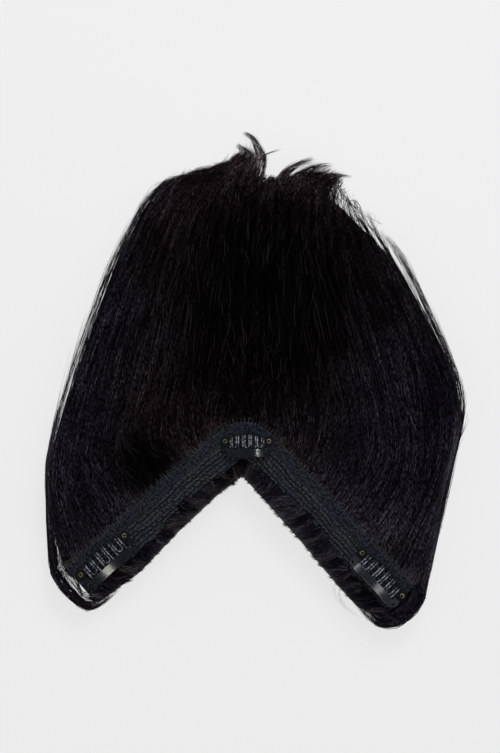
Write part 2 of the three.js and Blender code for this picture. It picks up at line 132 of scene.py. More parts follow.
# %% Guide strands
FALL_WIDTH = 204 * MM
FALL_LENGTH = 156 * MM
ROLL_OVERHANG = 10 * MM
LEFT_END_OVERHANG = 2 * MM
RIGHT_END_OVERHANG = 8.5 * MM
END_WRAP = 22 * MM
FRONT_WRAP = 0.3
UPPER_CLEARANCE = 2 * MM
GUIDES = [
    dict(at=0, roll=0.6, shoulder=(-0.474, -0.05), belly=(-0.427, 0.24),
         neck=(-0.324, 0.6), tip=(-0.225, 0.83), sweep=(-0.14, 0.89)),
    dict(at=0.12, roll=0.86, shoulder=(-0.392, -0.01), belly=(-0.343, 0.26),
         neck=(-0.245, 0.62), tip=(-0.165, 0.85), sweep=(-0.075, 0.915)),
    dict(at=0.25, roll=0.64, shoulder=(-0.284, 0.05), belly=(-0.24, 0.27),
         neck=(-0.167, 0.635), tip=(-0.093, 0.87), sweep=(-0.005, 0.95)),
    dict(at=0.38, roll=0.58, shoulder=(-0.157, 0.14), belly=(-0.123, 0.31),
         neck=(-0.074, 0.655), tip=(-0.03, 0.87), sweep=(0.022, 0.985)),
    dict(at=0.5, roll=0.75, shoulder=(0.005, 0.22), belly=(0.01, 0.37),
         neck=(0.015, 0.667), tip=(0.034, 0.83), sweep=(0.062, 0.9)),
    dict(at=0.62, roll=0.76, shoulder=(0.167, 0.14), belly=(0.142, 0.32),
         neck=(0.103, 0.655), tip=(0.115, 0.84), sweep=(0.185, 0.925)),
    dict(at=0.75, roll=0.84, shoulder=(0.294, 0.04), belly=(0.27, 0.28),
         neck=(0.196, 0.635), tip=(0.188, 0.83), sweep=(0.24, 0.9)),
    dict(at=0.88, roll=1, shoulder=(0.418, -0.01), belly=(0.397, 0.27),
         neck=(0.294, 0.625), tip=(0.252, 0.79), sweep=(0.232, 0.86)),
    dict(at=1, roll=1, shoulder=(0.502, -0.015), belly=(0.524, 0.225),
         neck=(0.394, 0.61), tip=(0.324, 0.725), sweep=(0.272, 0.8)),
]
guide_at = [row["at"] for row in GUIDES]
FALL_SIZE = np.array([FALL_WIDTH, FALL_LENGTH])
LAST_LEG = 7


def ramp(value, start, width):
    """Nought up to start, one from start + width on, and an even slope between them."""
    return np.clip((value - start) / width, 0, 1)


def spline(points, t):
    """Smooth curves through points (curves, places, 2), read at t (curves, steps) in places."""
    first = 2 * points[:, :1] - points[:, 1:2]
    last = 2 * points[:, -1:] - points[:, -2:-1]
    padded = np.concatenate([first, points, last], axis=1)
    i = np.clip(np.floor(t).astype(int), 0, points.shape[1] - 2)
    u = (t - i)[..., None]
    row = np.arange(len(points))[:, None]
    p0, p1, p2, p3 = (padded[row, i + k] for k in range(4))
    m1 = (p2 - p0) / 2
    m2 = (p3 - p1) / 2
    hermite = (2 * u**3 - 3 * u**2 + 1) * p1 + (u**3 - 2 * u**2 + u) * m1
    return hermite + (3 * u**2 - 2 * u**3) * p2 + (u**3 - u**2) * m2


def guide(column, share):
    """Where the guide strands' column lies at these shares of the band."""
    table = np.array([row[column] for row in GUIDES])[None]
    rows = np.interp(share, guide_at, np.arange(len(GUIDES)))
    return POINT + spline(table, rows[None])[0] * FALL_SIZE


def roll_depth(share):
    """How far the rolled roots reach from the band's centre line towards the inside of the V."""
    return HALF_BAND + ROLL_OVERHANG * np.interp(share, guide_at, [row["roll"] for row in GUIDES])


def roll_front(distance, rolled):
    """The edge of the rolled roots, which turns sharply at the point of the V."""
    side = np.where(distance < CORNER_MIDDLE, -1.0, 1.0)
    _, along, out = band_at(np.where(side < 0, 0.0, BAND_LENGTH))
    depth = rolled - CENTRE_RADIUS
    meeting = depth * math.tan((LEFT_TURN - RIGHT_TURN) / 2)
    lost = meeting + CORNER / 2
    reach = meeting + np.hypot(distance - CORNER_MIDDLE, lost) - lost
    return POINT - out * depth[:, None] + along * (side * reach)[:, None]


def strand_places(share):
    """The eight places that the strands at these shares of the band pass, as (strands, 8, 2)."""
    share = np.asarray(share, float)
    distance = share * BAND_LENGTH
    place, along, out = band_at(distance)
    to_end = np.minimum(distance, BAND_LENGTH - distance)
    side = np.where(share < 0.5, -1.0, 1.0)
    wrap = np.clip(1 - to_end / END_WRAP, 0, None) ** 2
    overhang = np.where(share < 0.5, LEFT_END_OVERHANG, RIGHT_END_OVERHANG)
    past = along * (side * wrap * overhang)[:, None]
    front = roll_front(distance, roll_depth(share)) + past * FRONT_WRAP
    middle = place + past
    outer = place + out * (HALF_BAND + UPPER_CLEARANCE) + past
    falls = [guide(column, share) for column in ("shoulder", "belly", "neck", "tip", "sweep")]
    return np.stack([front, middle, outer, *falls], axis=1)


def flow(share, leg):
    """Points (strands, steps, 2) at legs 0 to 7 of the strands at these shares."""
    return spline(strand_places(share), leg)


print("guides", len(GUIDES), "middle tip at", np.round(flow([0.5], np.array([[6.0]]))[0, 0] / MM, 1))

# %% [markdown]
# ## How high the hair lies
#
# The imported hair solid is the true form, so each strand asks it how high it is: a ray dropped from
# above gives the height there. Past the solid's edge the answer is zero, the table.

# %% Height of the hair
hair_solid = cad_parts["hair_fall"].data
solid_tree = BVHTree.FromPolygons(
    [v.co.copy() for v in hair_solid.vertices], [tuple(p.vertices) for p in hair_solid.polygons]
)
HAIR_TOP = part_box("hair_fall")[1][2]
BAND_FLOOR = band_low[2]
BAND_TOP = band_high[2]


def height_at(points):
    """Height of the solid's top under points (..., 2)."""
    flat = points.reshape(-1, 2)
    heights = np.zeros(len(flat))
    down = Vector((0, 0, -1))
    for i, (x, y) in enumerate(flat):
        hit = solid_tree.ray_cast(Vector((x, y, 2 * HAIR_TOP)), down)[0]
        if hit is not None:
            heights[i] = hit.z
    return heights.reshape(points.shape[:-1])


def smoothed(values, rounds):
    """Evens out values (strands, steps) along each strand, with both ends kept."""
    for _ in range(rounds):
        inner = (values[:, :-2] + 2 * values[:, 1:-1] + values[:, 2:]) / 4
        values = np.concatenate([values[:, :1], inner, values[:, -1:]], axis=1)
    return values


print("hair stands", round(HAIR_TOP / MM, 1), "mm high, band underside at", round(BAND_FLOOR / MM, 1))

# %% [markdown]
# ## Strands as one mesh
#
# A strand could be a curve, a particle hair or a mesh. The exported model keeps only meshes, so each
# strand is a thin closed tube with three sides that ends in a point. They are made together as
# arrays, thousands at a time. One value is stored on each point for the material: how light the
# strand is there. It changes a little along the strand, as real hair turns in and out of the light.

# %% Strand tubes
SIDES = 3
TONE_MIDDLE = 0.29


def link(name, mesh, material, body=MAIN_BODY):
    """Makes a piece of a mesh and says what it moves with and which finish it has."""
    obj = bpy.data.objects.new(name, mesh)
    bpy.context.collection.objects.link(obj)
    mesh.materials.append(material)
    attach(obj, body)
    return obj


def unit(vectors):
    """The vectors drawn out to length one."""
    return vectors / np.maximum(np.linalg.norm(vectors, axis=-1, keepdims=True), 1e-12)


def shade_smooth(mesh):
    mesh.polygons.foreach_set("use_smooth", np.ones(len(mesh.polygons), dtype=bool))


def store_values(mesh, name, values):
    """Keeps one number on each point of a mesh, for its material to read."""
    attribute = mesh.attributes.new(name, "FLOAT", "POINT")
    attribute.data.foreach_set("value", values.astype(np.float32).ravel())


def tube_mesh(name, paths, radii, tones, flatness=1.0):
    """Closed three-sided tubes along paths (strands, steps, 3), with radii and tones (strands, steps)."""
    count, steps, _ = paths.shape
    tangent = unit(np.gradient(paths, axis=1))
    side = unit(np.cross(tangent, [0, 0, 1.0]))
    up = np.cross(side, tangent)
    rings = []
    for k in range(SIDES):
        angle = math.pi / 2 + 2 * math.pi * k / SIDES
        across = side * math.cos(angle) * flatness + up * math.sin(angle)
        rings.append(paths[:, :-1] + across[:, :-1] * radii[:, :-1, None])
    rings = np.stack(rings, axis=2)
    ring_count = steps - 1
    per_strand = ring_count * SIDES + 1
    vertices = np.concatenate([rings.reshape(count, ring_count * SIDES, 3), paths[:, -1:]], axis=1)
    quads = []
    for i in range(ring_count - 1):
        for k in range(SIDES):
            j = (k + 1) % SIDES
            quads.append((i * SIDES + k, (i + 1) * SIDES + k, (i + 1) * SIDES + j, i * SIDES + j))
    last = (ring_count - 1) * SIDES
    tip = ring_count * SIDES
    ends = [(last + k, tip, last + (k + 1) % SIDES) for k in range(SIDES)] + [(0, 1, 2)]
    starts = np.arange(count)[:, None, None] * per_strand
    quad_corners = (np.array(quads)[None] + starts).reshape(-1)
    end_corners = (np.array(ends)[None] + starts).reshape(-1)
    sizes = np.concatenate([np.full(count * len(quads), 4), np.full(count * len(ends), 3)])
    mesh = bpy.data.meshes.new(name)
    mesh.vertices.add(count * per_strand)
    mesh.vertices.foreach_set("co", vertices.astype(np.float32).ravel())
    mesh.loops.add(len(quad_corners) + len(end_corners))
    mesh.loops.foreach_set("vertex_index", np.concatenate([quad_corners, end_corners]).astype(np.int32))
    mesh.polygons.add(len(sizes))
    mesh.polygons.foreach_set("loop_start", np.concatenate([[0], np.cumsum(sizes)[:-1]]).astype(np.int32))
    mesh.update(calc_edges=True)
    shade_smooth(mesh)
    point_tones = np.concatenate([np.repeat(tones[:, :-1], SIDES, axis=1), tones[:, -1:]], axis=1)
    store_values(mesh, "tone", point_tones)
    mesh.validate()
    return mesh


def taper(shape, radius, spread, full_until=0.55, tip_share=0.15):
    """Radii for paths of this shape: they differ by spread, stay full for a while and then thin out."""
    count, steps = shape[:2]
    thin = 1 - (1 - tip_share) * ramp(np.linspace(0, 1, steps), full_until, 1 - full_until) ** 1.3
    return (radius * rng.uniform(*spread, count))[:, None] * thin


def tones_for(shape, light_share=0.06, middle=0.3):
    """A lightness from 0 to 1 for each point: most strands are dark and a few catch the eye."""
    count, steps = shape[:2]
    tones = rng.beta(2, 5, count) * middle / TONE_MIDDLE
    light = rng.random(count) < light_share
    tones[light] = rng.uniform(0.5, 0.85, light.sum())
    flicker = rng.normal(0, 0.2, (count, steps))
    return np.clip(tones[:, None] * (1 + smoothed(flicker, 1)) + 0.08 * flicker, 0, 1)


print("a strand of ten steps has", 2 * SIDES * (10 - 2) + SIDES + 1, "triangles")

# %% [markdown]
# ## Hair finish
#
# Black hair doesn't look one black. The roots beside the band are a little grey and brown, and the
# sides of the fall are bluer. Painted shade makes the middle of the fall and a hollow low on the left
# nearly black, and painted light makes the hair lighter at the sides, at the tips and low down near
# the band. All of this is one node group that turns a lightness and a place into a colour, and it
# paints glint flecks along the strands too. The strands give it the lightness that is stored on them,
# and the mat under them gives it a fine streaky noise. The specular level is low, so that the mass
# stays dark.

# %% Node helpers


def set_inputs(node, values):
    for label, value in values.items():
        node.inputs[label].default_value = value


def link_or_set(tree, socket, value):
    if isinstance(value, bpy.types.NodeSocket):
        tree.links.new(value, socket)
    elif isinstance(value, tuple):
        socket.default_value = (*value, 1)
    else:
        socket.default_value = value


def ramp_node(tree, factor, stops):
    node = tree.nodes.new("ShaderNodeValToRGB")
    elements = node.color_ramp.elements
    while len(elements) < len(stops):
        elements.new(0.5)
    for element, (position, colour) in zip(elements, stops):
        element.position = position
        element.color = (*colour, 1)
    tree.links.new(factor, node.inputs["Fac"])
    return node.outputs["Color"]


def mix_colours(tree, factor, first, second, blend="MIX"):
    node = tree.nodes.new("ShaderNodeMix")
    node.data_type = "RGBA"
    node.blend_type = blend
    for index, value in ((0, factor), (6, first), (7, second)):
        link_or_set(tree, node.inputs[index], value)
    return node.outputs[2]


def multiplied(tree, first, second):
    return mix_colours(tree, 1.0, first, second, "MULTIPLY")


def maths(tree, operation, first, second=0.0):
    node = tree.nodes.new("ShaderNodeMath")
    node.operation = operation
    link_or_set(tree, node.inputs[0], first)
    link_or_set(tree, node.inputs[1], second)
    return node.outputs[0]


def mapped(tree, value, low, high, to_low=0.0, to_high=1.0):
    node = tree.nodes.new("ShaderNodeMapRange")
    node.interpolation_type = "SMOOTHSTEP"
    tree.links.new(value, node.inputs["Value"])
    set_inputs(node, {"From Min": low, "From Max": high, "To Min": to_low, "To Max": to_high})
    return node.outputs["Result"]


def noise_node(tree, vector, scale, detail=2.0):
    node = tree.nodes.new("ShaderNodeTexNoise")
    set_inputs(node, {"Scale": scale, "Detail": detail})
    tree.links.new(vector, node.inputs["Vector"])
    return node.outputs["Fac"]


def stretched(tree, vector, scale, turn=0.0):
    """A pattern's place, scaled along its three axes and turned in its plane."""
    node = tree.nodes.new("ShaderNodeMapping")
    set_inputs(node, {"Scale": scale, "Rotation": (0, 0, turn)})
    tree.links.new(vector, node.inputs["Vector"])
    return node.outputs["Vector"]


def axes_of(tree, vector):
    node = tree.nodes.new("ShaderNodeSeparateXYZ")
    tree.links.new(vector, node.inputs[0])
    return node.outputs


print("node helpers for ramps, mixes, sums, ranges, noise and places")

# %% Hair colour group
# Painted shade: the middle of the fall and a hollow low on the left are darkened.
MIDDLE_SHADE_SPOT = (8 * MM, 42 * MM)
MIDDLE_SHADE_REACH = (50 * MM, 58 * MM)
HOLLOW_SHADE_SPOT = (-52 * MM, -41 * MM)
HOLLOW_SHADE_REACH = (14 * MM, 15 * MM)
hair_colour = bpy.data.node_groups.new("hair_colour", "ShaderNodeTree")
for label, kind in (("Tone", "Float"), ("Place", "Vector"), ("Glints", "Float")):
    hair_colour.interface.new_socket(label, in_out="INPUT", socket_type=f"NodeSocket{kind}")
hair_colour.interface.new_socket("Color", in_out="OUTPUT", socket_type="NodeSocketColor")
given = hair_colour.nodes.new("NodeGroupInput")
result = hair_colour.nodes.new("NodeGroupOutput")
warm_stops = [(0.0, (0.0009, 0.0006, 0.0007)), (0.3, (0.0105, 0.007, 0.0078))]
warm_stops += [(0.6, (0.03, 0.0215, 0.0225)), (1.0, (0.085, 0.068, 0.066))]
cool_stops = [(0.0, (0.0009, 0.0008, 0.0014)), (0.3, (0.0105, 0.0092, 0.014))]
cool_stops += [(0.6, (0.03, 0.0265, 0.0365)), (1.0, (0.085, 0.078, 0.09))]
warm = ramp_node(hair_colour, given.outputs["Tone"], warm_stops)
cool = ramp_node(hair_colour, given.outputs["Tone"], cool_stops)
axes = axes_of(hair_colour, given.outputs["Place"])
off_middle = maths(hair_colour, "ABSOLUTE", axes["X"])
sideways = mapped(hair_colour, off_middle, 25 * MM, 80 * MM)
at_roll = mapped(hair_colour, axes["Y"], -44 * MM, -32 * MM, 1.0, 0.0)
tint_noise = noise_node(hair_colour, given.outputs["Place"], 24)
tint_patches = mapped(hair_colour, tint_noise, 0.35, 0.65, -0.4, 0.4)
coolness = maths(hair_colour, "ADD", maths(hair_colour, "MAXIMUM", sideways, at_roll), tint_patches)
blended = mix_colours(hair_colour, coolness, warm, cool)


def painted_shade_spot(middle, reach, darkness):
    """Painted shade: multiplies by darkness in the middle of an ellipse and by one outside it."""
    parts = []
    for axis, centre, radius in zip("XY", middle, reach):
        away = maths(hair_colour, "SUBTRACT", axes[axis], centre)
        away = maths(hair_colour, "DIVIDE", away, radius)
        parts.append(maths(hair_colour, "MULTIPLY", away, away))
    away = mapped(hair_colour, maths(hair_colour, "ADD", *parts), 0.1, 1.5)
    return ramp_node(hair_colour, away, [(0.0, (darkness,) * 3), (1.0, (1, 1, 1))])


# Painted light: the hair is made lighter low down near the band, at the sides and at the tips.
painted_light_low = mapped(hair_colour, axes["Y"], -75 * MM, 10 * MM, 1.5, 1.0)
painted_light_sides = mapped(hair_colour, off_middle, 30 * MM, 75 * MM, 1.0, 1.4)
painted_light_tips = mapped(hair_colour, axes["Y"], 70 * MM, 108 * MM, 1.0, 2.5)
painted_light_by_place = maths(hair_colour, "MULTIPLY", painted_light_low, painted_light_sides)
painted_light_by_place = maths(hair_colour, "MULTIPLY", painted_light_by_place, painted_light_tips)
cloud = noise_node(hair_colour, given.outputs["Place"], 45)
cloud_light = ramp_node(hair_colour, cloud, [(0.3, (0.5, 0.5, 0.52)), (0.7, (1.3, 1.28, 1.3))])
# Painted shade spots in the middle of the fall and in the hollow.
painted_shade_middle = painted_shade_spot(MIDDLE_SHADE_SPOT, MIDDLE_SHADE_REACH, 0.22)
painted_shade_hollow = painted_shade_spot(HOLLOW_SHADE_SPOT, HOLLOW_SHADE_REACH, 0.15)
shaded = blended
for shade in (painted_shade_middle, painted_shade_hollow, cloud_light):
    shaded = multiplied(hair_colour, shaded, shade)
# Painted glints: bright flecks drawn out along the strands; the group's third input sets how strongly they
# show.
drawn_out = stretched(hair_colour, given.outputs["Place"], (1.5, 0.6, 1))
fleck = noise_node(hair_colour, drawn_out, 1000, 3.0)
painted_glint_flecks = ramp_node(hair_colour, fleck, [(0.4, (0.1, 0.1, 0.1)), (0.62, (2.5, 2.5, 2.5))])
shaded = mix_colours(hair_colour, given.outputs["Glints"], shaded, painted_glint_flecks, "MULTIPLY")
shaded = multiplied(hair_colour, shaded, painted_light_by_place)
hair_colour.links.new(shaded, result.inputs["Color"])
print("hair colour group", len(hair_colour.nodes), "nodes")

# %% Hair materials
HAIR_SURFACE = {"Roughness": 0.48, "Specular IOR Level": 0.03}


def material_with_nodes(name):
    material = bpy.data.materials.new(name)
    material.use_nodes = True
    tree = material.node_tree
    return material, tree, tree.nodes["Principled BSDF"]


def object_place(tree):
    return tree.nodes.new("ShaderNodeTexCoord").outputs["Object"]


def map_place(tree):
    return tree.nodes.new("ShaderNodeUVMap").outputs["UV"]


def stored_value(tree, name):
    """The number that store_values kept on the mesh under this name."""
    node = tree.nodes.new("ShaderNodeAttribute")
    node.attribute_name = name
    return node.outputs["Fac"]


def add_bump(tree, shader, height, strength, distance):
    node = tree.nodes.new("ShaderNodeBump")
    set_inputs(node, {"Strength": strength, "Distance": distance})
    tree.links.new(height, node.inputs["Height"])
    tree.links.new(node.outputs["Normal"], shader.inputs["Normal"])


def coloured_as_hair(tree, shader, tone, grain_and_glints=1.0):
    group = tree.nodes.new("ShaderNodeGroup")
    group.node_tree = hair_colour
    tree.links.new(tone, group.inputs["Tone"])
    tree.links.new(object_place(tree), group.inputs["Place"])
    set_inputs(group, {"Glints": grain_and_glints})
    tree.links.new(group.outputs["Color"], shader.inputs["Base Color"])
    set_inputs(shader, HAIR_SURFACE)


def strand_material(name, grain_and_glints):
    material, tree, shader = material_with_nodes(name)
    coloured_as_hair(tree, shader, stored_value(tree, "tone"), grain_and_glints)
    return material


def mat_material():
    """The mat's own fine streaks follow its UV map: across the strands and along them."""
    material, tree, shader = material_with_nodes("black_hair_mat")
    streaks = noise_node(tree, stretched(tree, map_place(tree), (520, 16, 1)), 1.0, 4.0)
    coloured_as_hair(tree, shader, mapped(tree, streaks, 0.35, 0.75, 0.0, 0.5))
    add_bump(tree, shader, streaks, 0.6, 0.3 * MM)
    return material


# The second number sets the painted glint flecks: full on the fall, a quarter on the roll.
hair_finish = strand_material("black_hair", 1.0)
roll_finish = strand_material("black_hair_roll", 0.25)
flyaway_finish, _, flyaway_shader = material_with_nodes("black_hair_on_top")
set_inputs(flyaway_shader, {"Base Color": (0.048, 0.043, 0.045, 1), **HAIR_SURFACE})
mat_finish = mat_material()
print("hair finishes", hair_finish.name, mat_finish.name)

# %% [markdown]
# ## The mat
#
# Under the strands the real piece is a thick mat of more hair, too dense to see through. One closed
# shell does for it: a grid whose vertices are moved along the flow, just below the solid's top, with
# its rim pulled down to the table. Its UV map runs across and along the strands, for the streaks.

# %% Mat
MAT_ACROSS = 150
MAT_ALONG = 90
MAT_SINK = 0.5 * MM
MAT_FIRST_LEG = 0.04
MAT_MARGIN = 0.004
MAT_LAST_AT = [0, 0.25, 0.35, 0.44, 0.56, 0.63, 0.7, 1]
MAT_LAST_LEG = [5.85, 5.95, 6.2, 6.6, 6.75, 6.5, 6.15, 5.9]
EDGE_KEPT = 0.24


def dense_until(leg):
    """The share up to which the hair is dense: near the tips the right edge is only loose locks."""
    return np.interp(leg, [2.6, 3.2, 4.2, 5, 5.5, 6, 7], [1, 0.992, 0.992, 0.972, 0.925, 0.84, 0.77])


def dense_from(leg):
    """The share from which the hair is dense: down the left edge too the outermost hairs are loose."""
    return np.interp(leg, [2.5, 3, 4, 5, 6], [0, 0.012, 0.03, 0.035, 0.02])


def thinned_edge(share, leg):
    """True for strands to move inward, so that the fall thins out over its two loose edges."""
    past_left = 1 - share / np.maximum(dense_from(leg), 1e-6)
    past_right = (share - dense_until(leg)) / np.maximum(1 - dense_until(leg), 1e-6)
    past = np.maximum(past_left, past_right)
    kept = np.where(past > 0, EDGE_KEPT * np.clip(1 - past, 0, 1) ** 1.2, 1)
    return rng.random(len(share)) > kept


def end_rounding(share):
    """How far the rolled edge draws back, in legs, to round the right end of the band."""
    return 0.5 * ramp(share, 0.94, 0.06) ** 2


def mapped_grid(x_segments, y_segments):
    """A flat grid one unit wide, with a UV map from its one corner to the other."""
    bm = bmesh.new()
    bm.loops.layers.uv.new("UVMap")
    bmesh.ops.create_grid(bm, x_segments=x_segments, y_segments=y_segments, size=0.5, calc_uvs=True)
    return bm


def mesh_from(bm, name):
    """Turns a finished bmesh into a smoothly shaded mesh."""
    mesh = bpy.data.meshes.new(name)
    bm.to_mesh(mesh)
    bm.free()
    shade_smooth(mesh)
    return mesh


def closed_shell(bm, name, floor_height):
    """Draws a grid's rim straight down to floor_height and closes it underneath."""
    rim = [e for e in bm.edges if e.is_boundary]
    walls = bmesh.ops.extrude_edge_only(bm, edges=rim)["geom"]
    for v in walls:
        if isinstance(v, bmesh.types.BMVert):
            v.co.z = floor_height
    bmesh.ops.contextual_create(bm, geom=[e for e in bm.edges if e.is_boundary])
    bmesh.ops.triangulate(bm, faces=[f for f in bm.faces if len(f.verts) > 4])
    bmesh.ops.recalc_face_normals(bm, faces=bm.faces)
    return mesh_from(bm, name)


def make_mat():
    bm = mapped_grid(MAT_ACROSS, MAT_ALONG)
    share = np.array([v.co.x + 0.5 for v in bm.verts])
    along = np.array([v.co.y + 0.5 for v in bm.verts])
    leg = MAT_FIRST_LEG + (np.interp(share, MAT_LAST_AT, MAT_LAST_LEG) - MAT_FIRST_LEG) * along
    leg = np.maximum(leg, MAT_FIRST_LEG + end_rounding(share))
    left = MAT_MARGIN + 0.8 * dense_from(leg)
    places = flow(left + (dense_until(leg) - MAT_MARGIN - left) * share, leg[:, None])[:, 0]
    heights = height_at(places)
    for v, (x, y), z in zip(bm.verts, places, heights):
        v.co = (x, y, MAT_SINK if v.is_boundary else max(z - MAT_SINK, MAT_SINK))
    inner = [v for v in bm.verts if not v.is_boundary]
    bmesh.ops.smooth_vert(bm, verts=inner, factor=0.5, use_axis_z=True)
    return closed_shell(bm, "hair_mat", 0)


mat = link("hair_mat", make_mat(), mat_finish)
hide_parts("hair_fall")
print("mat faces", len(mat.data.polygons))

# %% [markdown]
# ## The fall
#
# The strands that show follow the flow from under the band to the tips. Combed hair is never
# parallel: strands gather in locks, cross a little and end at different lengths, so each one gets a
# slow wander of its own, shared in part with its neighbours. Long strands run the whole way. Many
# more short ones rise out of the mat, lie over it at a slight angle and sink back, as the part of a
# strand does that happens to be on top. The fall is five pieces, so that none is too heavy.

# %% Fall helpers
LOCKS = 46
LOCK_SEED = 3
OWN_WANDER = 0.9
WANDER_MM = 1.1
WANDER_TURNS = (0.55, 1.1, 2.1)
SPREAD_BY_WIDTH = 0.55
ROOT_LEG = 1.6
INNER_SHARES = (0.05, 0.8)


def with_heights(points, z):
    """Paths (strands, steps, 3) from places seen from above and their heights."""
    return np.concatenate([points, z[..., None]], axis=2)


def wander(share, leg):
    """A slow sideways drift (strands, steps): part by lock, part by strand."""
    lock = np.floor(share * LOCKS + 0.35 * np.sin(share * 61)).astype(int)
    drift = np.random.default_rng(LOCK_SEED).uniform(-1, 1, (LOCKS + 2, 3))
    own = rng.uniform(-1, 1, (len(share), 3))
    total = np.zeros_like(leg)
    for k, turns in enumerate(WANDER_TURNS):
        phase = drift[lock, k][:, None] * math.pi
        total += np.sin(leg * turns + phase + own[:, k][:, None] * OWN_WANDER) / (k + 1)
    return total


def thinned_inward(share, leg):
    """The shares, with those that thin out the two loose edges moved into the fall."""
    return np.where(thinned_edge(share, leg), rng.uniform(*INNER_SHARES, len(share)), share)


def even_shares(count):
    """Shares spread evenly, about half of them across the fall's widest part, the rest along the band."""
    samples = np.linspace(0, 1, 400)
    across = guide("belly", samples)[:, 0]
    across = (across - across[0]) / (across[-1] - across[0])
    even = rng.uniform(0.004, 0.996, count)
    by_width = np.interp(even, across, samples)
    return np.where(rng.random(count) < SPREAD_BY_WIDTH, by_width, even)


def sideways_of(points):
    """The direction across each path, to its right, as seen from above."""
    tangent = unit(np.gradient(points, axis=1))
    return np.stack([tangent[..., 1], -tangent[..., 0]], axis=-1)


def hair_piece(name, paths, radii, tones, flatness=1.0, finish=hair_finish):
    """One piece of tubes along paths, which stay with the band."""
    piece = link(name, tube_mesh(name, paths, radii, tones, flatness), finish)
    piece.data.calc_loop_triangles()
    print(name, len(paths), "strands,", len(piece.data.loop_triangles), "triangles")


def hair_pieces(kind, parts, share, paths, radii, tones, flatness):
    """One piece for each stretch of the band, so that none is too heavy."""
    for name, low, high in parts:
        chosen = (share >= low) & (share < high)
        hair_piece(f"hair_{kind}_{name}", paths[chosen], radii[chosen], tones[chosen], flatness)


print("a lock is", round(FALL_WIDTH / LOCKS / MM, 1), "mm wide where the fall is widest")

# %% Long strands
LONG_COUNT = 1700
LONG_STEPS = 15
LONG_RADIUS = 0.15 * MM


def long_paths(count):
    share = even_shares(count)
    end = LAST_LEG - np.abs(rng.normal(0, 0.35, count))
    share = thinned_inward(share, np.full(count, 4.5))
    end = np.where(share > dense_until(end), rng.uniform(4.2, 5.6, count), end)
    steps = np.linspace(0, 1, LONG_STEPS)
    leg = ROOT_LEG + (end - ROOT_LEG)[:, None] * steps[None]
    points = flow(share, leg)
    drift = wander(share, leg) * ramp(leg, 1.9, 2.2) * WANDER_MM * MM
    points += sideways_of(points) * drift[..., None]
    ground = smoothed(height_at(points), 2)
    layer = rng.uniform(-0.3, 1, count)[:, None] * 0.6 * MM
    free = ramp(leg, 1.78, 0.3)
    z = np.maximum(ground + layer * free - 0.35 * MM * (1 - free), LONG_RADIUS)
    return share, with_heights(points, z)


share, paths = long_paths(LONG_COUNT)
radii = taper(paths.shape, LONG_RADIUS, (0.75, 1.2))
tones = tones_for(paths.shape, 0.01, 0.24)
hair_pieces("long", [("left", 0, 0.5), ("right", 0.5, 1.01)], share, paths, radii, tones, 1.4)

# %% Short strands
SHORT_COUNT = 10500
SHORT_STEPS = 6
SHORT_RADIUS = 0.11 * MM


def short_paths(count):
    share = even_shares(count)
    first = 1.7 + (6.6 - 1.7) * rng.random(count) ** 1.1
    span = rng.uniform(0.25, 1.0, count) * np.where(first < 2.4, 0.6, 1.0)
    last = np.minimum(first + span, LAST_LEG - np.abs(rng.normal(0, 0.3, count)))
    last = np.maximum(last, first + 0.2)
    share = thinned_inward(share, last)
    t = np.linspace(0, 1, SHORT_STEPS)[None]
    leg = first[:, None] + (last - first)[:, None] * t
    points = flow(share, leg)
    angle = rng.normal(0, 2.2, count)[:, None] * MM * (t - 0.5)
    bend = rng.normal(0, 0.7, count)[:, None] * MM * np.sin(math.pi * t)
    drift = wander(share, leg) * WANDER_MM * MM + angle + bend
    points += sideways_of(points) * (drift * ramp(leg, 1.8, 1.5))[..., None]
    ground = smoothed(height_at(points), 1)
    lift = rng.uniform(0.1, 1.0, count)[:, None] * 0.95 * MM * np.sin(math.pi * t) ** 0.6
    z = np.maximum(ground + lift - 0.3 * MM * (1 - ramp(leg, 5.2, 0.8)), SHORT_RADIUS)
    return share, with_heights(points, z)


share, paths = short_paths(SHORT_COUNT)
radii = taper(paths.shape, SHORT_RADIUS, (0.7, 1.3), 0.5, 0.25)
radii[np.minimum(share, 1 - share) < 0.03] *= 0.65
tones = tones_for(paths.shape, 0.12, 0.33)
short_parts = [("left", 0, 0.36), ("middle", 0.36, 0.66), ("right", 0.66, 1.01)]
hair_pieces("short", short_parts, share, paths, radii, tones, 1.3)

# %% [markdown]
# ## The roots beside the band
#
# Where the hair leaves the band it is still in order: fine hairs stand square to the band's outer
# edge, side by side, and look greyer than the rest because the light falls on them straight. A row
# of short fine strands makes this border.

# %% Roots
ROOT_COUNT = 1900
ROOT_STEPS = 6
ROOT_RADIUS = 0.11 * MM


def root_paths(count):
    share = np.clip(np.linspace(0.006, 0.994, count) + rng.normal(0, 0.0002, count), 0.004, 0.996)
    first = rng.uniform(1.76, 1.88, count)
    last = first + rng.uniform(0.25, 0.75, count)
    t = np.linspace(0, 1, ROOT_STEPS)[None]
    leg = first[:, None] + (last - first)[:, None] * t
    points = flow(share, leg)
    slant = rng.normal(0, 0.4, count)[:, None] * MM * t
    points += sideways_of(points) * slant[..., None]
    ground = height_at(points)
    z = ground + (0.15 + rng.uniform(0.1, 0.7, count)[:, None] * np.sin(math.pi * t * 0.8)) * MM
    return with_heights(points, z)


roots = root_paths(ROOT_COUNT)
root_radii = taper(roots.shape, ROOT_RADIUS, (0.7, 1.2), 0.5, 0.3)
hair_piece("hair_roots", roots, root_radii, tones_for(roots.shape, 0.3, 0.46))

# %% [markdown]
# ## The rolled root edge
#
# Below the band the hair is folded under and shows as a furry roll: short strands side by side, that
# come out from under the band's inner edge, curve over the roll and meet the table. They all lean
# towards the point of the V, in small tufts, which gives the edge its ragged, braided look.

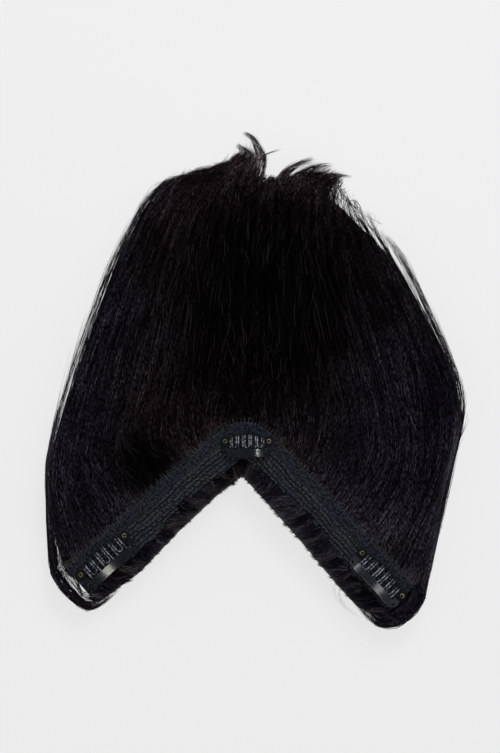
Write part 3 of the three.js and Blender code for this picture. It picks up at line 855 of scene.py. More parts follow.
# %% Roll spans
ROLL_STEPS = 8
ROLL_COUNT = 3000
ROLL_LEAN = 5 * MM
TUFT_LEAN_MM = 4.5
OUTERMOST_PART = 0.6
LATE_PART = 0.35
ROLL_TUFTS = 84
TUFT_SEED = 11
TUFT_TONE_SEED = 12
ROLL_RADIUS = 0.13 * MM
FLUFF_AT = [0, 0.2, 0.23, 0.27, 0.31, 0.36, 0.45, 0.5, 0.58, 0.65, 0.74, 0.79, 0.85, 0.9, 1]
FLUFF_OVER_BAND = [0, 0, 0.6, 3.4, 4.4, 2.6, 0.6, 0.2, 2.8, 4.0, 4.8, 2.8, 0.8, 0, 0]
BULGE_AT = [0.34, 0.41, 0.46, 0.55, 0.6, 0.66, 0.71, 0.76, 0.82, 0.88]
BULGE = [0, 0.8, 0, 0, 0.4, 0.4, 1.0, 0.2, 0.8, 0]


def roll_tuft_of(share):
    return np.floor(share * ROLL_TUFTS + 0.3 * np.sin(share * 67)).astype(int)


def roll_spans(share, tuft, swelling):
    """Where the strands begin and end, in legs, and how far they reach over the band."""
    count = len(share)
    over = np.interp(share, FLUFF_AT, FLUFF_OVER_BAND) * MM * (1 + 0.25 * tuft)
    over *= rng.uniform(0.2, 1.05, count)
    over = np.where(over > 0.3 * MM, over, -1.5 * MM * rng.uniform(0, 1, count) ** 0.5 + 1 * MM)
    rolled = roll_depth(share)
    begin = 1 - (HALF_BAND - over) / rolled
    bulge = np.interp(share, BULGE_AT, BULGE, 0, 0) * MM + 0.4 * MM * swelling
    bulge += 0.5 * MM * rng.random(count) ** 2 - 0.3 * MM
    outermost = rng.random(count) < OUTERMOST_PART
    end = np.where(outermost, rng.uniform(-0.02, 0.06, count) - bulge / rolled, rng.uniform(0, 0.25, count))
    begin = np.where(rng.random(count) < LATE_PART, begin * rng.uniform(0.6, 1, count), begin)
    rounding = end_rounding(share)
    end = np.where(rounding > 0.01, np.maximum(end, rounding), end)
    return begin[:, None], end[:, None], over


def roll_ground(points, middle, out, over):
    """What the strands lie on: the roll, or the band's face where they reach over it."""
    over_band = ((points - middle) * out).sum(axis=2) > -HALF_BAND - 0.8 * MM
    over_band &= (over > 0.2 * MM)[:, None]
    ground = height_at(points)
    ground = smoothed(np.where(over_band, np.maximum(ground, BAND_TOP + 0.2 * MM), ground), 1)
    return np.where(over_band, np.maximum(ground, BAND_TOP + 0.1 * MM), ground)


print("roll", round(float(roll_depth(0.0) / MM), 1), "to", round(float(roll_depth(1.0) / MM), 1), "mm deep")

# %% Roll strands


def roll_paths(share):
    count = len(share)
    index = roll_tuft_of(share)
    traits = np.random.default_rng(TUFT_SEED).uniform(-1, 1, (ROLL_TUFTS + 2, 3))
    tuft, tuft_lean, swelling = traits[index].T
    to_point = np.tanh((0.5 - share) / 0.04)
    lean = to_point * ROLL_LEAN + tuft_lean * TUFT_LEAN_MM * MM + rng.normal(0, 1.3, count) * MM
    lean = lean / BAND_LENGTH
    gather = 0.6 * ((index + 0.5) / ROLL_TUFTS - share)
    begin, end, over = roll_spans(share, tuft, swelling)
    t = np.linspace(0, 1, ROLL_STEPS)[None]
    leg = np.clip(begin + (end - begin) * t, -0.3, 1.4)
    curl = 0.6 * MM / BAND_LENGTH * np.sin(t * 5 + 3 * tuft[:, None] + rng.uniform(0, 1.5, count)[:, None])
    leaning = np.clip(share[:, None] + lean[:, None] * (t**1.3 - 0.4) + gather[:, None] * t + curl, 0, 1)
    points = flow(leaning.reshape(-1), np.maximum(leg, 0).reshape(-1, 1)).reshape(count, ROLL_STEPS, 2)
    middle, _, out = band_at(leaning * BAND_LENGTH)
    points += out * (np.minimum(leg, 0) * roll_depth(share)[:, None])[..., None]
    ground = roll_ground(points, middle, out, over)
    lift = rng.uniform(0.0, 1.0, count)[:, None] * 0.7 * MM + (0.35 + 0.35 * tuft[:, None]) * MM
    free = ramp(t, 0, 0.3)
    z = np.maximum(ground + lift * free - 0.2 * MM * (1 - free), 0.15 * MM)
    return with_heights(points, z)


roll_share = rng.uniform(0, 1, ROLL_COUNT)
roll_shape = (ROLL_COUNT, ROLL_STEPS)
tuft_tone = np.random.default_rng(TUFT_TONE_SEED).uniform(0.35, 1.6, ROLL_TUFTS + 2)
tuft_tone = tuft_tone[roll_tuft_of(roll_share), None]
roll_tones = np.clip(tones_for(roll_shape, 0.28, 0.33) * tuft_tone, 0, 1)
# The first point of each roll strand is painted darker, as the shadow along the band's edge.
roll_tones[:, 0] *= 0.4
roll_radii = taper(roll_shape, ROLL_RADIUS, (0.6, 1.3), 0.6, 0.2)
hair_piece("hair_roll", roll_paths(roll_share), roll_radii, roll_tones, 1.3, roll_finish)

# %% [markdown]
# ## Hair round the ends of the band
#
# At both ends of the band the outermost hair comes down the side of the fall, turns round the end
# and joins the roll. On the right it makes a full round lobe. On the left most of it lies in one
# loose loop, and the table shows through between the loop and the band.

# %% End loops
LOOP_STEPS = 14
LEFT_LOOP_COUNT = 140
LEFT_INNER_COUNT = 60
RIGHT_LOOP_COUNT = 620
LEFT_LOOP = [
    (3.4, 17.2), (7.0, 9.6), (8.2, 2.2), (8.0, -4.6), (6.3, -12.2), (0.2, -15.0), (-12.3, -15.8),
]
RIGHT_LOOP = [
    (1.8, 17.1), (8.0, 8.0), (10.0, -0.5), (9.2, -8.5), (5.2, -14.8), (-0.5, -17.6), (-15.0, -18.2),
]
INWARD_PAST = np.array([6.0, 8.0, 8.5, 8.0, 4.0, 0.0, 0.0])
INWARD_OUT = np.array([3.0, 2.0, -1.0, -6.0, -8.0, -8.0, -7.0])


def loop_paths(count, end, fractions):
    """Strands round one end of the band; fractions say how far out each lies, 1 being the outline."""
    distance = 0.0 if end < 0 else BAND_LENGTH
    place, along, out = band_at(distance)
    past, outward = (np.array(LEFT_LOOP if end < 0 else RIGHT_LOOP) * MM).T
    scale = fractions[:, None]
    inner_past = past - (1 - scale) * INWARD_PAST * MM
    inner_out = outward - (1 - scale) * INWARD_OUT * MM
    jitter = rng.normal(0, 0.35, (2, count, len(past))) * MM
    loop = place + along * (end * (inner_past + jitter[0]))[..., None]
    loop = loop + out * (inner_out + jitter[1])[..., None]
    share = np.clip(0.002 + (1 - fractions) * 0.03, 0, 1)
    share = share if end < 0 else 1 - share
    side_fall = flow(share, np.tile([[3.75, 3.35, 3.0]], (count, 1)))
    places = np.concatenate([side_fall, loop], axis=1)
    stop = rng.uniform(8.0 if end < 0 else 7.2, 9.0, count)
    start = rng.uniform(0.0, 1.6, count)
    t = start[:, None] + (stop - start)[:, None] * np.linspace(0, 1, LOOP_STEPS)[None]
    points = spline(places, t)
    ground = smoothed(height_at(points), 4)
    free = ramp(t, 2.4, 1.2) * np.clip((8.4 - t) / 1.6, 0.4, 1)
    low = rng.uniform(1.0, 9.5, count)[:, None] * MM
    eased = np.where(ground > low, 0.5 * free, free)
    z = ground * (1 - eased) + low * eased
    z = smoothed(z + rng.uniform(0.1, 0.8, count)[:, None] * MM, 2)
    return with_heights(points, np.maximum(z, 0.2 * MM))


loops = np.concatenate(
    [
        loop_paths(LEFT_LOOP_COUNT, -1, 1.12 - 0.5 * rng.random(LEFT_LOOP_COUNT) ** 1.4),
        loop_paths(LEFT_INNER_COUNT, -1, np.linspace(-0.1, 0.8, LEFT_INNER_COUNT)),
        loop_paths(RIGHT_LOOP_COUNT, 1, 1.08 - 0.98 * rng.random(RIGHT_LOOP_COUNT) ** 1.1),
    ]
)
loop_counts = [LEFT_LOOP_COUNT, LEFT_INNER_COUNT, RIGHT_LOOP_COUNT]
loop_radii = np.repeat([0.11 * MM, 0.08 * MM, 0.12 * MM], loop_counts)
loop_radii = taper(loops.shape, loop_radii, (0.6, 1.3), 0.75, 0.3)
hair_piece("hair_end_loops", loops, loop_radii, tones_for(loops.shape, 0.08, 0.34))

# %% [markdown]
# ## Tufts at the tips
#
# The tips dry into a few curled tufts: one that stands up over the middle, and one that sweeps to the
# right. Each is a bundle of strands round one curve, wide at its root and drawn together at its
# tip, with a few strands that stray. Between the two there is a gap where the table shows. The last
# rows of the table are thin locks down the right side and a wisp under the band's right end.

# %% Tip tufts
TUFT_STEPS = 13
TUFT_RADIUS_MM = 0.1
# places are shares of the fall's size; width and radius are in millimetres
TUFTS = [
    dict(places=[(0.006, 0.8), (0.021, 0.877), (0.036, 0.925), (0.041, 0.955),
                 (0.032, 0.985), (0.023, 1.01), (0.008, 1.024), (-0.004, 1.027)],
         width=10, count=75, loose=0.8, radius=0.075),
    dict(places=[(-0.027, 0.815), (-0.008, 0.884), (0.008, 0.927), (0.011, 0.955),
                 (0.001, 0.974), (-0.011, 0.986), (-0.019, 0.993)],
         width=13, count=60, loose=0.9, radius=0.085),
    dict(places=[(-0.068, 0.769), (-0.037, 0.846), (-0.008, 0.902), (0.016, 0.94), (0.034, 0.977)],
         width=14, count=110, loose=0.8),
    dict(places=[(-0.103, 0.8), (-0.068, 0.853), (-0.032, 0.893), (-0.004, 0.927), (0.013, 0.955)],
         width=12, count=90, loose=0.9),
    dict(places=[(-0.163, 0.8), (-0.127, 0.846), (-0.087, 0.884), (-0.051, 0.915), (-0.023, 0.949)],
         width=9, count=60, loose=1),
    dict(places=[(-0.223, 0.737), (-0.192, 0.793), (-0.156, 0.837), (-0.12, 0.871), (-0.092, 0.902)],
         width=9, count=50, loose=1),
    dict(places=[(0.02, 0.893), (0.035, 0.94), (0.054, 0.961), (0.075, 0.971), (0.099, 0.98)],
         width=2, count=7, loose=0.3),
    dict(places=[(0.016, 0.8), (0.03, 0.846), (0.044, 0.884), (0.049, 0.924), (0.049, 0.971)],
         width=6, count=18, loose=0.8),
    dict(places=[(0.058, 0.769), (0.063, 0.815), (0.065, 0.853), (0.068, 0.877), (0.073, 0.896)],
         width=14, count=100, loose=0.8),
    dict(places=[(0.075, 0.815), (0.089, 0.871), (0.108, 0.909), (0.137, 0.933), (0.175, 0.946)],
         width=9, count=60, loose=0.9),
    dict(places=[(0.094, 0.8), (0.111, 0.859), (0.137, 0.896), (0.173, 0.921), (0.22, 0.927)],
         width=10, count=70, loose=0.9),
    dict(places=[(0.115, 0.784), (0.132, 0.84), (0.161, 0.877), (0.204, 0.896), (0.265, 0.891)],
         width=10, count=90, loose=0.6),
    dict(places=[(0.142, 0.769), (0.156, 0.821), (0.175, 0.853), (0.206, 0.874), (0.239, 0.881)],
         width=8, count=60, loose=0.8),
    dict(places=[(0.258, 0.675), (0.237, 0.737), (0.223, 0.784), (0.215, 0.821), (0.22, 0.853)],
         width=6, count=24, loose=0.8),
    dict(places=[(0.306, 0.622), (0.282, 0.691), (0.263, 0.747), (0.251, 0.8), (0.244, 0.846)],
         width=5, count=16, loose=0.6),
    dict(places=[(0.353, 0.535), (0.33, 0.616), (0.306, 0.691), (0.282, 0.747), (0.258, 0.784)],
         width=5, count=28, loose=0.7),
    dict(places=[(0.384, 0.489), (0.363, 0.573), (0.339, 0.66), (0.315, 0.722), (0.294, 0.793)],
         width=4, count=16, loose=0.6),
    dict(places=[(0.408, 0.41), (0.387, 0.504), (0.368, 0.582), (0.346, 0.653), (0.327, 0.716)],
         width=4, count=18, loose=0.6),
    dict(places=[(0.225, -0.38), (0.222, -0.411), (0.234, -0.445), (0.258, -0.473), (0.292, -0.495)],
         width=5, count=5, loose=1.2, radius=0.035),
]


def tuft_paths(places, width, count, loose):
    """A bundle round one curve: width is in millimetres at its root, loose at its tip."""
    centre = POINT + np.array(places) * FALL_SIZE
    steps = np.linspace(0, 1, TUFT_STEPS)
    end = 1 - np.abs(rng.normal(0, 0.1, count))
    begin = rng.uniform(0, 0.25, count)
    t = begin[:, None] + (end - begin)[:, None] * steps[None]
    points = spline(np.repeat(centre[None], count, axis=0), t * (len(places) - 1))
    across = rng.uniform(-0.5, 0.5, count)[:, None] * width * MM
    spread = across * (1 - t) ** 1.3 + rng.normal(0, loose, count)[:, None] * MM * t**2
    spread += 0.4 * MM * loose * np.sin(t * 5 + rng.uniform(0, 6.3, count)[:, None])
    points += sideways_of(points) * spread[..., None]
    rise = rng.uniform(0.1, 1, count)[:, None] * 1.2 * MM * (1 - 0.5 * t)
    z = np.maximum(smoothed(height_at(points), 3) + rise, 0.3 * MM)
    return with_heights(points, z)


tuft_strands = [tuft_paths(row["places"], row["width"], row["count"], row["loose"]) for row in TUFTS]
tuft_strands = np.concatenate(tuft_strands)
tuft_radii = np.concatenate([np.full(row["count"], row.get("radius", TUFT_RADIUS_MM) * MM) for row in TUFTS])
tuft_radii = taper(tuft_strands.shape, tuft_radii, (0.6, 1.3), 0.3, 0.12)
hair_piece("hair_tufts", tuft_strands, tuft_radii, tones_for(tuft_strands.shape, 0.25, 0.42), 1.2)

# %% [markdown]
# ## Stray hairs
#
# Some hairs leave the mass: along both sides, all round the tips, and a few over the middle. Each
# starts in line with its neighbours and then bends away. They are finer than the strands of the
# fall, which stand for several hairs each, so that they show as faint lines against the table. The
# hairs that cross on top of the fall have a lighter black of their own, because they catch the lamps.

# %% Stray hairs
STRAY_STEPS = 12
STRAY_RADIUS = 0.06 * MM
CROSSING_COUNT = 420
CROSSING_RADIUS = 0.1 * MM


def stray_paths(count, share_range, leg_range, span, reach, curl):
    """Hairs that run with the flow and drift out of it, by about reach at their tips."""
    share = rng.uniform(*share_range, count)
    first = rng.uniform(*leg_range, count)
    t = np.linspace(0, 1, STRAY_STEPS)[None]
    points = flow(share, first[:, None] + span * rng.uniform(0.4, 1, count)[:, None] * t)
    outward = sideways_of(points) * np.where(share < 0.5, -1.0, 1.0)[:, None, None]
    aside = reach * rng.normal(0.5, 0.5, count)[:, None] * t ** rng.uniform(0.7, 2.2, count)[:, None]
    aside = aside + curl * rng.normal(0, 1, count)[:, None] * np.sin(t * rng.uniform(2, 6, count)[:, None])
    points += outward * aside[..., None]
    ground = smoothed(height_at(points), 4)
    z = np.maximum(ground + rng.uniform(0.2, 2.0, count)[:, None] * MM * np.sin(math.pi * t), 0.2 * MM)
    return with_heights(points, z)


strays = np.concatenate(
    [
        stray_paths(150, (0.0, 0.02), (2.6, 6.2), 1.0, 2 * MM, 0.5 * MM),
        stray_paths(170, (0.0, 0.035), (2.4, 6.4), 0.7, 0.8 * MM, 0.3 * MM),
        stray_paths(110, (0.98, 1.0), (2.4, 5.0), 0.9, 2 * MM, 0.5 * MM),
        stray_paths(120, (0.975, 1.0), (2.4, 5.2), 0.6, 0.8 * MM, 0.3 * MM),
        stray_paths(60, (0.985, 1.0), (2.8, 4.3), 0.7, 1.6 * MM, 0.3 * MM),
        stray_paths(190, (0.0, 0.45), (5.9, 6.8), 0.5, 3.2 * MM, 0.6 * MM),
        stray_paths(120, (0.6, 0.9), (5.9, 6.7), 0.4, 2.5 * MM, 0.7 * MM),
        stray_paths(90, (0.9, 1.0), (4.6, 6.4), 0.7, 2.5 * MM, 0.7 * MM),
        stray_paths(220, (0.05, 0.95), (2.2, 5.8), 0.7, 5 * MM, 1.5 * MM),
    ]
)
stray_radii = taper(strays.shape, STRAY_RADIUS, (0.7, 1.5), 0.4, 0.35)
hair_piece("hair_strays", strays, stray_radii, tones_for(strays.shape, 0.2))
crossing = stray_paths(CROSSING_COUNT, (0.22, 0.8), (2.3, 5.4), 0.42, 3.5 * MM, 0.6 * MM)
crossing_radii = taper(crossing.shape, CROSSING_RADIUS, (0.5, 1.3), 0.4, 0.35)
hair_piece("hair_crossing", crossing, crossing_radii, crossing_radii / MM, 1.0, flyaway_finish)

# %% [markdown]
# ## The band
#
# The band is knitted elastic with rows of stitching: six raised ribs run along its lower part, beaded
# by their stitches, and a pebbly knit fills the rest. At this size the ribs are real relief. A fine
# grid is bent along the band's line, each vertex is raised by its rib, and the rim is drawn down and
# closed underneath. Each vertex keeps how far up its rib it lies, so that the grooves can be darker.

# %% Band mesh
BAND_ALONG = 720
BAND_ACROSS = 54
RIBS = 6
RIB_PITCH = 2.05 * MM
RIB_MARGIN = 1.3 * MM
RIB_HEIGHT = 0.36 * MM
RIB_STITCH = 1.15 * MM
KNIT_PITCH = 0.95 * MM
BAND_BODY = 1.2 * MM
PLAIN_RIB_VALUE = 0.62
PLAIN_HEIGHT = 0.25
KNIT_DEPTH = 0.04 * MM
RIM_DROP = 0.6 * MM
RIM_WIDTH = 0.9 * MM


def rib_at(distance, across):
    """How far up a rib this place is, 0 in a groove and 1 on a crest, or None on the plain part."""
    waver = 0.2 * math.sin(distance * 150) + 0.13 * math.sin(distance * 410 + 2)
    rib_row = (across + HALF_BAND - RIB_MARGIN) / RIB_PITCH + waver * (1 - abs(across) / HALF_BAND)
    rib = round(rib_row)
    if not -0.5 < rib_row < RIBS - 0.5:
        return None
    depth = 0.72 + 0.28 * math.sin(distance * 95 + rib * 1.9)
    groove = abs(2 * (rib_row - rib)) ** 1.9
    bead = 0.5 + 0.5 * math.sin(2 * math.pi * distance / RIB_STITCH + rib * 2.1)
    return (1 - depth * groove) * (0.82 + 0.18 * bead)


def band_relief(distance, across):
    """Height of the band's face over its plain top, at a distance along and a place across it."""
    rib = rib_at(distance, across)
    relief = RIB_HEIGHT * (rib if rib is not None else PLAIN_HEIGHT)
    knit = math.sin(2 * math.pi * (distance / KNIT_PITCH + across / KNIT_PITCH / 2))
    knit *= math.sin(2 * math.pi * (distance / KNIT_PITCH - across / KNIT_PITCH / 2))
    relief += KNIT_DEPTH * knit
    to_edge = HALF_BAND - abs(across)
    return relief - RIM_DROP * max(0, 1 - to_edge / RIM_WIDTH) ** 2


def edge_waver(distance):
    """How far the band's edges waver, so that they aren't ruled lines."""
    return 0.18 * MM * math.sin(distance * 310) + 0.12 * MM * math.sin(distance * 930 + 1)


def make_band():
    bm = mapped_grid(BAND_ALONG, BAND_ACROSS)
    rib_layer = bm.verts.layers.float.new("rib")
    distance = np.array([(v.co.x + 0.5) * BAND_LENGTH for v in bm.verts])
    across = np.array([v.co.y * BAND_WIDTH for v in bm.verts])
    place, _, out = band_at(distance)
    for i, v in enumerate(bm.verts):
        edge = across[i] / HALF_BAND
        x, y = place[i] + out[i] * (across[i] + edge * edge_waver(distance[i]))
        v.co = (x, y, BAND_FLOOR + BAND_BODY + band_relief(distance[i], across[i]))
        rib = rib_at(distance[i], across[i])
        v[rib_layer] = PLAIN_RIB_VALUE if rib is None else rib
    return closed_shell(bm, "knitted_band", BAND_FLOOR)


band_mesh = make_band()
print("band faces", len(band_mesh.polygons))

# %% [markdown]
# ## Knit finish
#
# The yarn is navy black. Its stitches are noise in the band's own map, laid in millimetres so that
# they run with the band: short ticks across the ribs, and round pebbles on the plain outer part,
# which is bluer. The grooves between the ribs are painted dark, as shade and dirt, and the crests a
# little greyer, as painted light.

# %% Knit material


def knit_material():
    material, tree, shader = material_with_nodes("knitted_elastic")
    band_map = map_place(tree)
    yarn_place = stretched(tree, band_map, (BAND_LENGTH / MM, BAND_WIDTH / MM, 1))
    stitch = noise_node(tree, stretched(tree, yarn_place, (1.3, 0.9, 1), 0.6), 1.0, 3.0)
    fluff = noise_node(tree, yarn_place, 0.85)
    slow = noise_node(tree, yarn_place, 0.07)
    # Painted shade and dirt darken the grooves, and painted light makes the crests greyer.
    crest = [(0.3, (0.0005, 0.0005, 0.001)), (0.62, (0.0115, 0.013, 0.0165)), (1.0, (0.03, 0.033, 0.039))]
    stitch_light = [(0.44, (0.03, 0.03, 0.04)), (0.55, (2.8, 2.8, 2.7))]
    plain = [(0.42, (0.0008, 0.0011, 0.0026)), (0.58, (0.03, 0.035, 0.05))]
    ribbed = ramp_node(tree, stored_value(tree, "rib"), crest)
    ribbed = multiplied(tree, ribbed, ramp_node(tree, stitch, stitch_light))
    outer_part = mapped(tree, axes_of(tree, band_map)["Y"], 0.7, 0.78)
    colour = mix_colours(tree, outer_part, ribbed, ramp_node(tree, fluff, plain))
    patches = ramp_node(tree, slow, [(0.35, (0.75, 0.82, 1.1)), (0.65, (1.15, 1.12, 1.05))])
    tree.links.new(multiplied(tree, colour, patches), shader.inputs["Base Color"])
    add_bump(tree, shader, maths(tree, "ADD", fluff, stitch), 0.7, 0.25 * MM)
    set_inputs(shader, {"Roughness": 0.8, "Specular IOR Level": 0.25})
    return material


band = link("knitted_band", band_mesh, knit_material())
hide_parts("elastic_band")
print("band finish", band.data.materials[0].name)

# %% [markdown]
# ## Edge stitches
#
# A row of fine threads crosses the band's outer edge, about one to a millimetre, and binds the
# hair to it. They are the same closed tubes as the strands, in a grey thread.

# %% Stitch row
THREAD_RADIUS = 0.1 * MM
EDGE_PITCH = 0.95 * MM
EDGE_STEPS = 8


def thread_material(name, colour):
    material, tree, shader = material_with_nodes(name)
    twist = noise_node(tree, object_place(tree), 700)
    dark = tuple(c * 0.4 for c in colour)
    tree.links.new(ramp_node(tree, twist, [(0.35, dark), (0.65, colour)]), shader.inputs["Base Color"])
    set_inputs(shader, {"Roughness": 0.6, "Specular IOR Level": 0.3})
    return material


def edge_stitches():
    count = int(BAND_LENGTH / EDGE_PITCH)
    distance = (np.arange(count) + 0.5 + rng.normal(0, 0.08, count)) * EDGE_PITCH
    place, along, out = band_at(distance)
    t = np.linspace(0, 1, EDGE_STEPS)[None]
    inner = HALF_BAND - rng.uniform(0.2, 1.2, count) * MM
    outer = HALF_BAND + rng.uniform(1.4, 3.6, count) * MM
    across = inner[:, None] + (outer - inner)[:, None] * t
    slant = rng.normal(0, 0.3, count)[:, None] * MM * t
    points = place[:, None] + out[:, None] * across[..., None] + along[:, None] * slant[..., None]
    over_band = BAND_FLOOR + BAND_BODY + 0.12 * MM
    beyond = ramp(across, HALF_BAND, 1.2 * MM)
    z = over_band * (1 - beyond) + np.maximum(height_at(points) + 0.8 * MM, over_band - 0.3 * MM) * beyond
    return with_heights(points, z)


edge = edge_stitches()
edge_radii = taper(edge.shape, THREAD_RADIUS, (0.7, 1.1), 0.6, 0.3)
edge_mesh = tube_mesh("edge_stitches", edge, edge_radii, tones_for(edge.shape))
link("edge_stitches", edge_mesh, thread_material("edge_thread", (0.24, 0.235, 0.24)))
print("edge stitches", len(edge))

# %% [markdown]
# ## The clips
#
# Snap clips are stamped from spring steel and dipped in black lacquer, so every edge is slightly
# round and catches a line of light. The solids have the right shape but sharp edges. Each one is
# copied, its flat facets are merged and its edges bevelled by the thickness of the lacquer. The
# bows ride on their own bodies, because they turn.

# %% Clip materials


def lacquer_material(name, colour, roughness, specular):
    """Black lacquer, finely grained; where the tooth attribute is one it gets painted glints in grey."""
    material, tree, shader = material_with_nodes(name)
    place = object_place(tree)
    grain_and_glints = noise_node(tree, place, 1300, 4.0)
    glint_breakup = noise_node(tree, place, 900, 3.0)
    dark = tuple(c * 0.5 for c in colour)
    painted = ramp_node(tree, grain_and_glints, [(0.4, dark), (0.7, colour)])
    # Painted glints on the teeth: grey streaks broken up by noise.
    painted_tooth_glints = ramp_node(tree, glint_breakup, [(0.42, (0.03, 0.033, 0.042)), (0.58, (0.4, 0.42, 0.47))])
    finish = mix_colours(tree, stored_value(tree, "tooth"), painted, painted_tooth_glints)
    tree.links.new(finish, shader.inputs["Base Color"])
    dulled = mapped(tree, grain_and_glints, 0.3, 0.7, roughness * 0.8, roughness * 1.3)
    tree.links.new(dulled, shader.inputs["Roughness"])
    add_bump(tree, shader, grain_and_glints, 0.04, 0.03 * MM)
    set_inputs(shader, {"Specular IOR Level": specular})
    return material


def brass_material():
    """Brass with dark tarnish, painted nearly black with shade down the bore, where the rim attribute is
    nought.
    """
    material, tree, shader = material_with_nodes("dull_brass")
    tarnish = noise_node(tree, object_place(tree), 900)
    colour = ramp_node(tree, tarnish, [(0.38, (0.1, 0.085, 0.04)), (0.62, (0.5, 0.46, 0.31))])
    # Painted shade: the bore goes nearly black.
    shade = ramp_node(tree, stored_value(tree, "rim"), [(0.0, (0.02, 0.02, 0.02)), (1.0, (1, 1, 1))])
    tree.links.new(multiplied(tree, colour, shade), shader.inputs["Base Color"])
    set_inputs(shader, {"Metallic": 0.7, "Roughness": 0.42})
    return material


# The bow's black lacquer is painted lighter and bluer than the comb's, as painted sheen.
bow_lacquer = lacquer_material("black_lacquer_bow", (0.026, 0.029, 0.04), 0.12, 0.28)
comb_lacquer = lacquer_material("black_lacquer_comb", (0.01, 0.011, 0.016), 0.5, 0.15)
brass = brass_material()
print("clip finishes", bow_lacquer.name, comb_lacquer.name, brass.name)

# %% Clip pieces
LACQUER_EDGE = 0.1 * MM
EYELET_EDGE = 0.06 * MM
FLAT_ANGLE = math.radians(1)
SHARP_ANGLE = math.radians(35)
PAD_RADIUS = 2.4 * MM
COMB_RISE = {"left": 3.6 * MM, "centre": 3.4 * MM, "right": 3.6 * MM}
BELOW_SPINE = 0.8 * MM
BORE_RADIUS = 0.66 * MM


def seen_from_above(mesh):
    return np.array([v.co[:2] for v in mesh.vertices])


def mark_teeth(mesh, side):
    """Stores one on the comb's teeth, where the glints are painted, and zero on its arched spine and its two
    pads.
    """
    ends = [np.array(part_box(f"{side}_clip_{end}_eyelet")).mean(axis=0)[:2] for end in ("left", "right")]
    spacing = np.linalg.norm(ends[1] - ends[0])
    across = (ends[1] - ends[0]) / spacing
    up = np.array([-across[1], across[0]])
    points = seen_from_above(mesh) - (ends[0] + ends[1]) / 2
    x, y = points @ across, points @ up
    low = PAD_RADIUS / 3
    spine = low + (COMB_RISE[side] - low) * np.cos(math.pi * np.clip(x / spacing, -0.5, 0.5))
    on_tooth = (y < spine - BELOW_SPINE) & (np.abs(x) < spacing / 2 - PAD_RADIUS)
    store_values(mesh, "tooth", on_tooth)
    return int(on_tooth.sum())


def mark_rim(mesh, node):
    """Stores one on the eyelet's rim and zero down its bore, which gets painted shade."""
    middle = np.array(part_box(node)).mean(axis=0)[:2]
    away = np.linalg.norm(seen_from_above(mesh) - middle, axis=1)
    store_values(mesh, "rim", ramp(away, BORE_RADIUS, 0.25 * MM))


def rounded_copy(node, body, material, bevel):
    """A copy of a solid with its facets merged and its sharp edges rounded, which stands for it."""
    bm = bmesh.new()
    bm.from_mesh(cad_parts[node].data)
    bmesh.ops.remove_doubles(bm, verts=bm.verts, dist=0.002 * MM)
    bmesh.ops.dissolve_limit(bm, angle_limit=FLAT_ANGLE, verts=bm.verts, edges=bm.edges)
    sharp = [e for e in bm.edges if len(e.link_faces) == 2 and e.calc_face_angle() > SHARP_ANGLE]
    bmesh.ops.bevel(
        bm, geom=sharp, offset=bevel, segments=2, profile=0.5, affect="EDGES", material=-1, clamp_overlap=True
    )
    bmesh.ops.triangulate(bm, faces=[f for f in bm.faces if len(f.verts) > 4])
    mesh = mesh_from(bm, f"{node}_finished")
    obj = link(f"{node}_finished", mesh, material, body)
    weighted = obj.modifiers.new("flat_faces_stay_flat", "WEIGHTED_NORMAL")
    weighted.weight = 100
    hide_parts(node)
    return obj


for side in ("left", "centre", "right"):
    clip = f"{side}_clip"
    comb = rounded_copy(f"{clip}_comb", MAIN_BODY, comb_lacquer, LACQUER_EDGE)
    rounded_copy(f"{clip}_bow", f"{side}_bow", bow_lacquer, LACQUER_EDGE)
    for eyelet in ("left", "right"):
        node = f"{clip}_{eyelet}_eyelet"
        mark_rim(rounded_copy(node, MAIN_BODY, brass, EYELET_EDGE).data, node)
    print(clip, "comb faces", len(comb.data.polygons), "tooth points", mark_teeth(comb.data, side))

# %% [markdown]
# ## Table and light
#
# The photograph has a plain pale ground with hardly a shadow, and the hair on it is nearly black. So
# the floor gives off a little light of its own, and the room is bright near the horizon and dark
# overhead: what the black hair would mirror towards the camera is then dark too. The floor lies a
# fifth of a millimetre down, so that it shares no plane with the hair. Small soft lamps overhead put
# the patches of light on the bars, and a larger one at the upper right draws the ribs.

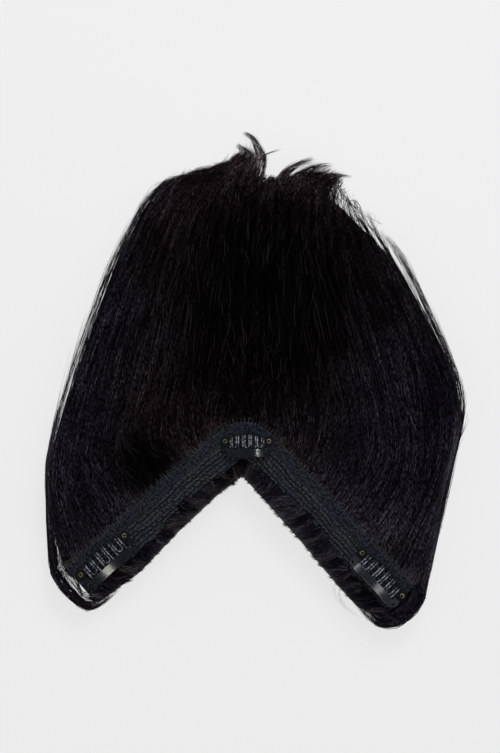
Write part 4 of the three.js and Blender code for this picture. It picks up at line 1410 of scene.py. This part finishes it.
# %% Stage
FLOOR_SIZE = 6.0
FLOOR_DROP = 0.2 * MM
floor_mesh = bmesh.new()
bmesh.ops.create_grid(floor_mesh, x_segments=1, y_segments=1, size=FLOOR_SIZE / 2)
floor_data = bpy.data.meshes.new("floor")
floor_mesh.to_mesh(floor_data)
floor_mesh.free()
floor_data.transform(Matrix.Translation((0, 0, -FLOOR_DROP)))
floor = bpy.data.objects.new("floor", floor_data)
bpy.context.collection.objects.link(floor)
floor_material, _, floor_shader = material_with_nodes("pale_ground")
floor_finish = {"Base Color": (0.3, 0.3, 0.3, 1), "Roughness": 0.9, "Specular IOR Level": 0.0}
set_inputs(floor_shader, {**floor_finish, "Emission Color": (1, 1, 1, 1), "Emission Strength": 0.705})
floor_data.materials.append(floor_material)


def soft_lamp(name, place, aim, size, radiance):
    """A square lamp at place, turned to aim; its power follows from its size and how bright it looks."""
    data = bpy.data.lights.new(name, "AREA")
    data.shape = "SQUARE"
    data.size = size
    data.energy = radiance * math.pi * size * size
    lamp = bpy.data.objects.new(name, data)
    lamp.location = place
    lamp.rotation_euler = (Vector(aim) - Vector(place)).to_track_quat("-Z", "Y").to_euler()
    bpy.context.collection.objects.link(lamp)
    return data


warm_lamp = soft_lamp("lamp_left_bar", (-0.153, -0.187, 0.8), (-0.07, -0.09, 0), 0.09, 19)
warm_lamp.color = (1, 0.97, 0.86)
soft_lamp("lamp_centre_bar", (0.17, -0.059, 0.8), (0, -0.035, 0), 0.01, 240)
soft_lamp("lamp_right_bar", (0.9, 0.383, 0.8), (0.06, -0.1, 0), 0.11, 11)
soft_lamp("lamp_right_bar_far", (0.594, 0.712, 0.8), (0.06, -0.1, 0), 0.12, 9)
soft_lamp("lamp_key", (0.3, 0.95, 0.85), (0, 0, 0), 0.45, 7)
world = bpy.data.worlds.new("studio")
bpy.context.scene.world = world
world.use_nodes = True
sky = world.node_tree
direction = sky.nodes.new("ShaderNodeTexCoord").outputs["Generated"]
sky_stops = [(0.05, (0.86, 0.86, 0.86)), (0.45, (0.4, 0.4, 0.42)), (0.9, (0.02, 0.02, 0.025))]
sky_light = ramp_node(sky, axes_of(sky, direction)["Z"], sky_stops)
background = sky.nodes["Background"]
sky.links.new(sky_light, background.inputs["Color"])
set_inputs(background, {"Strength": 1.0})
bpy.context.scene.view_settings.view_transform = "Standard"
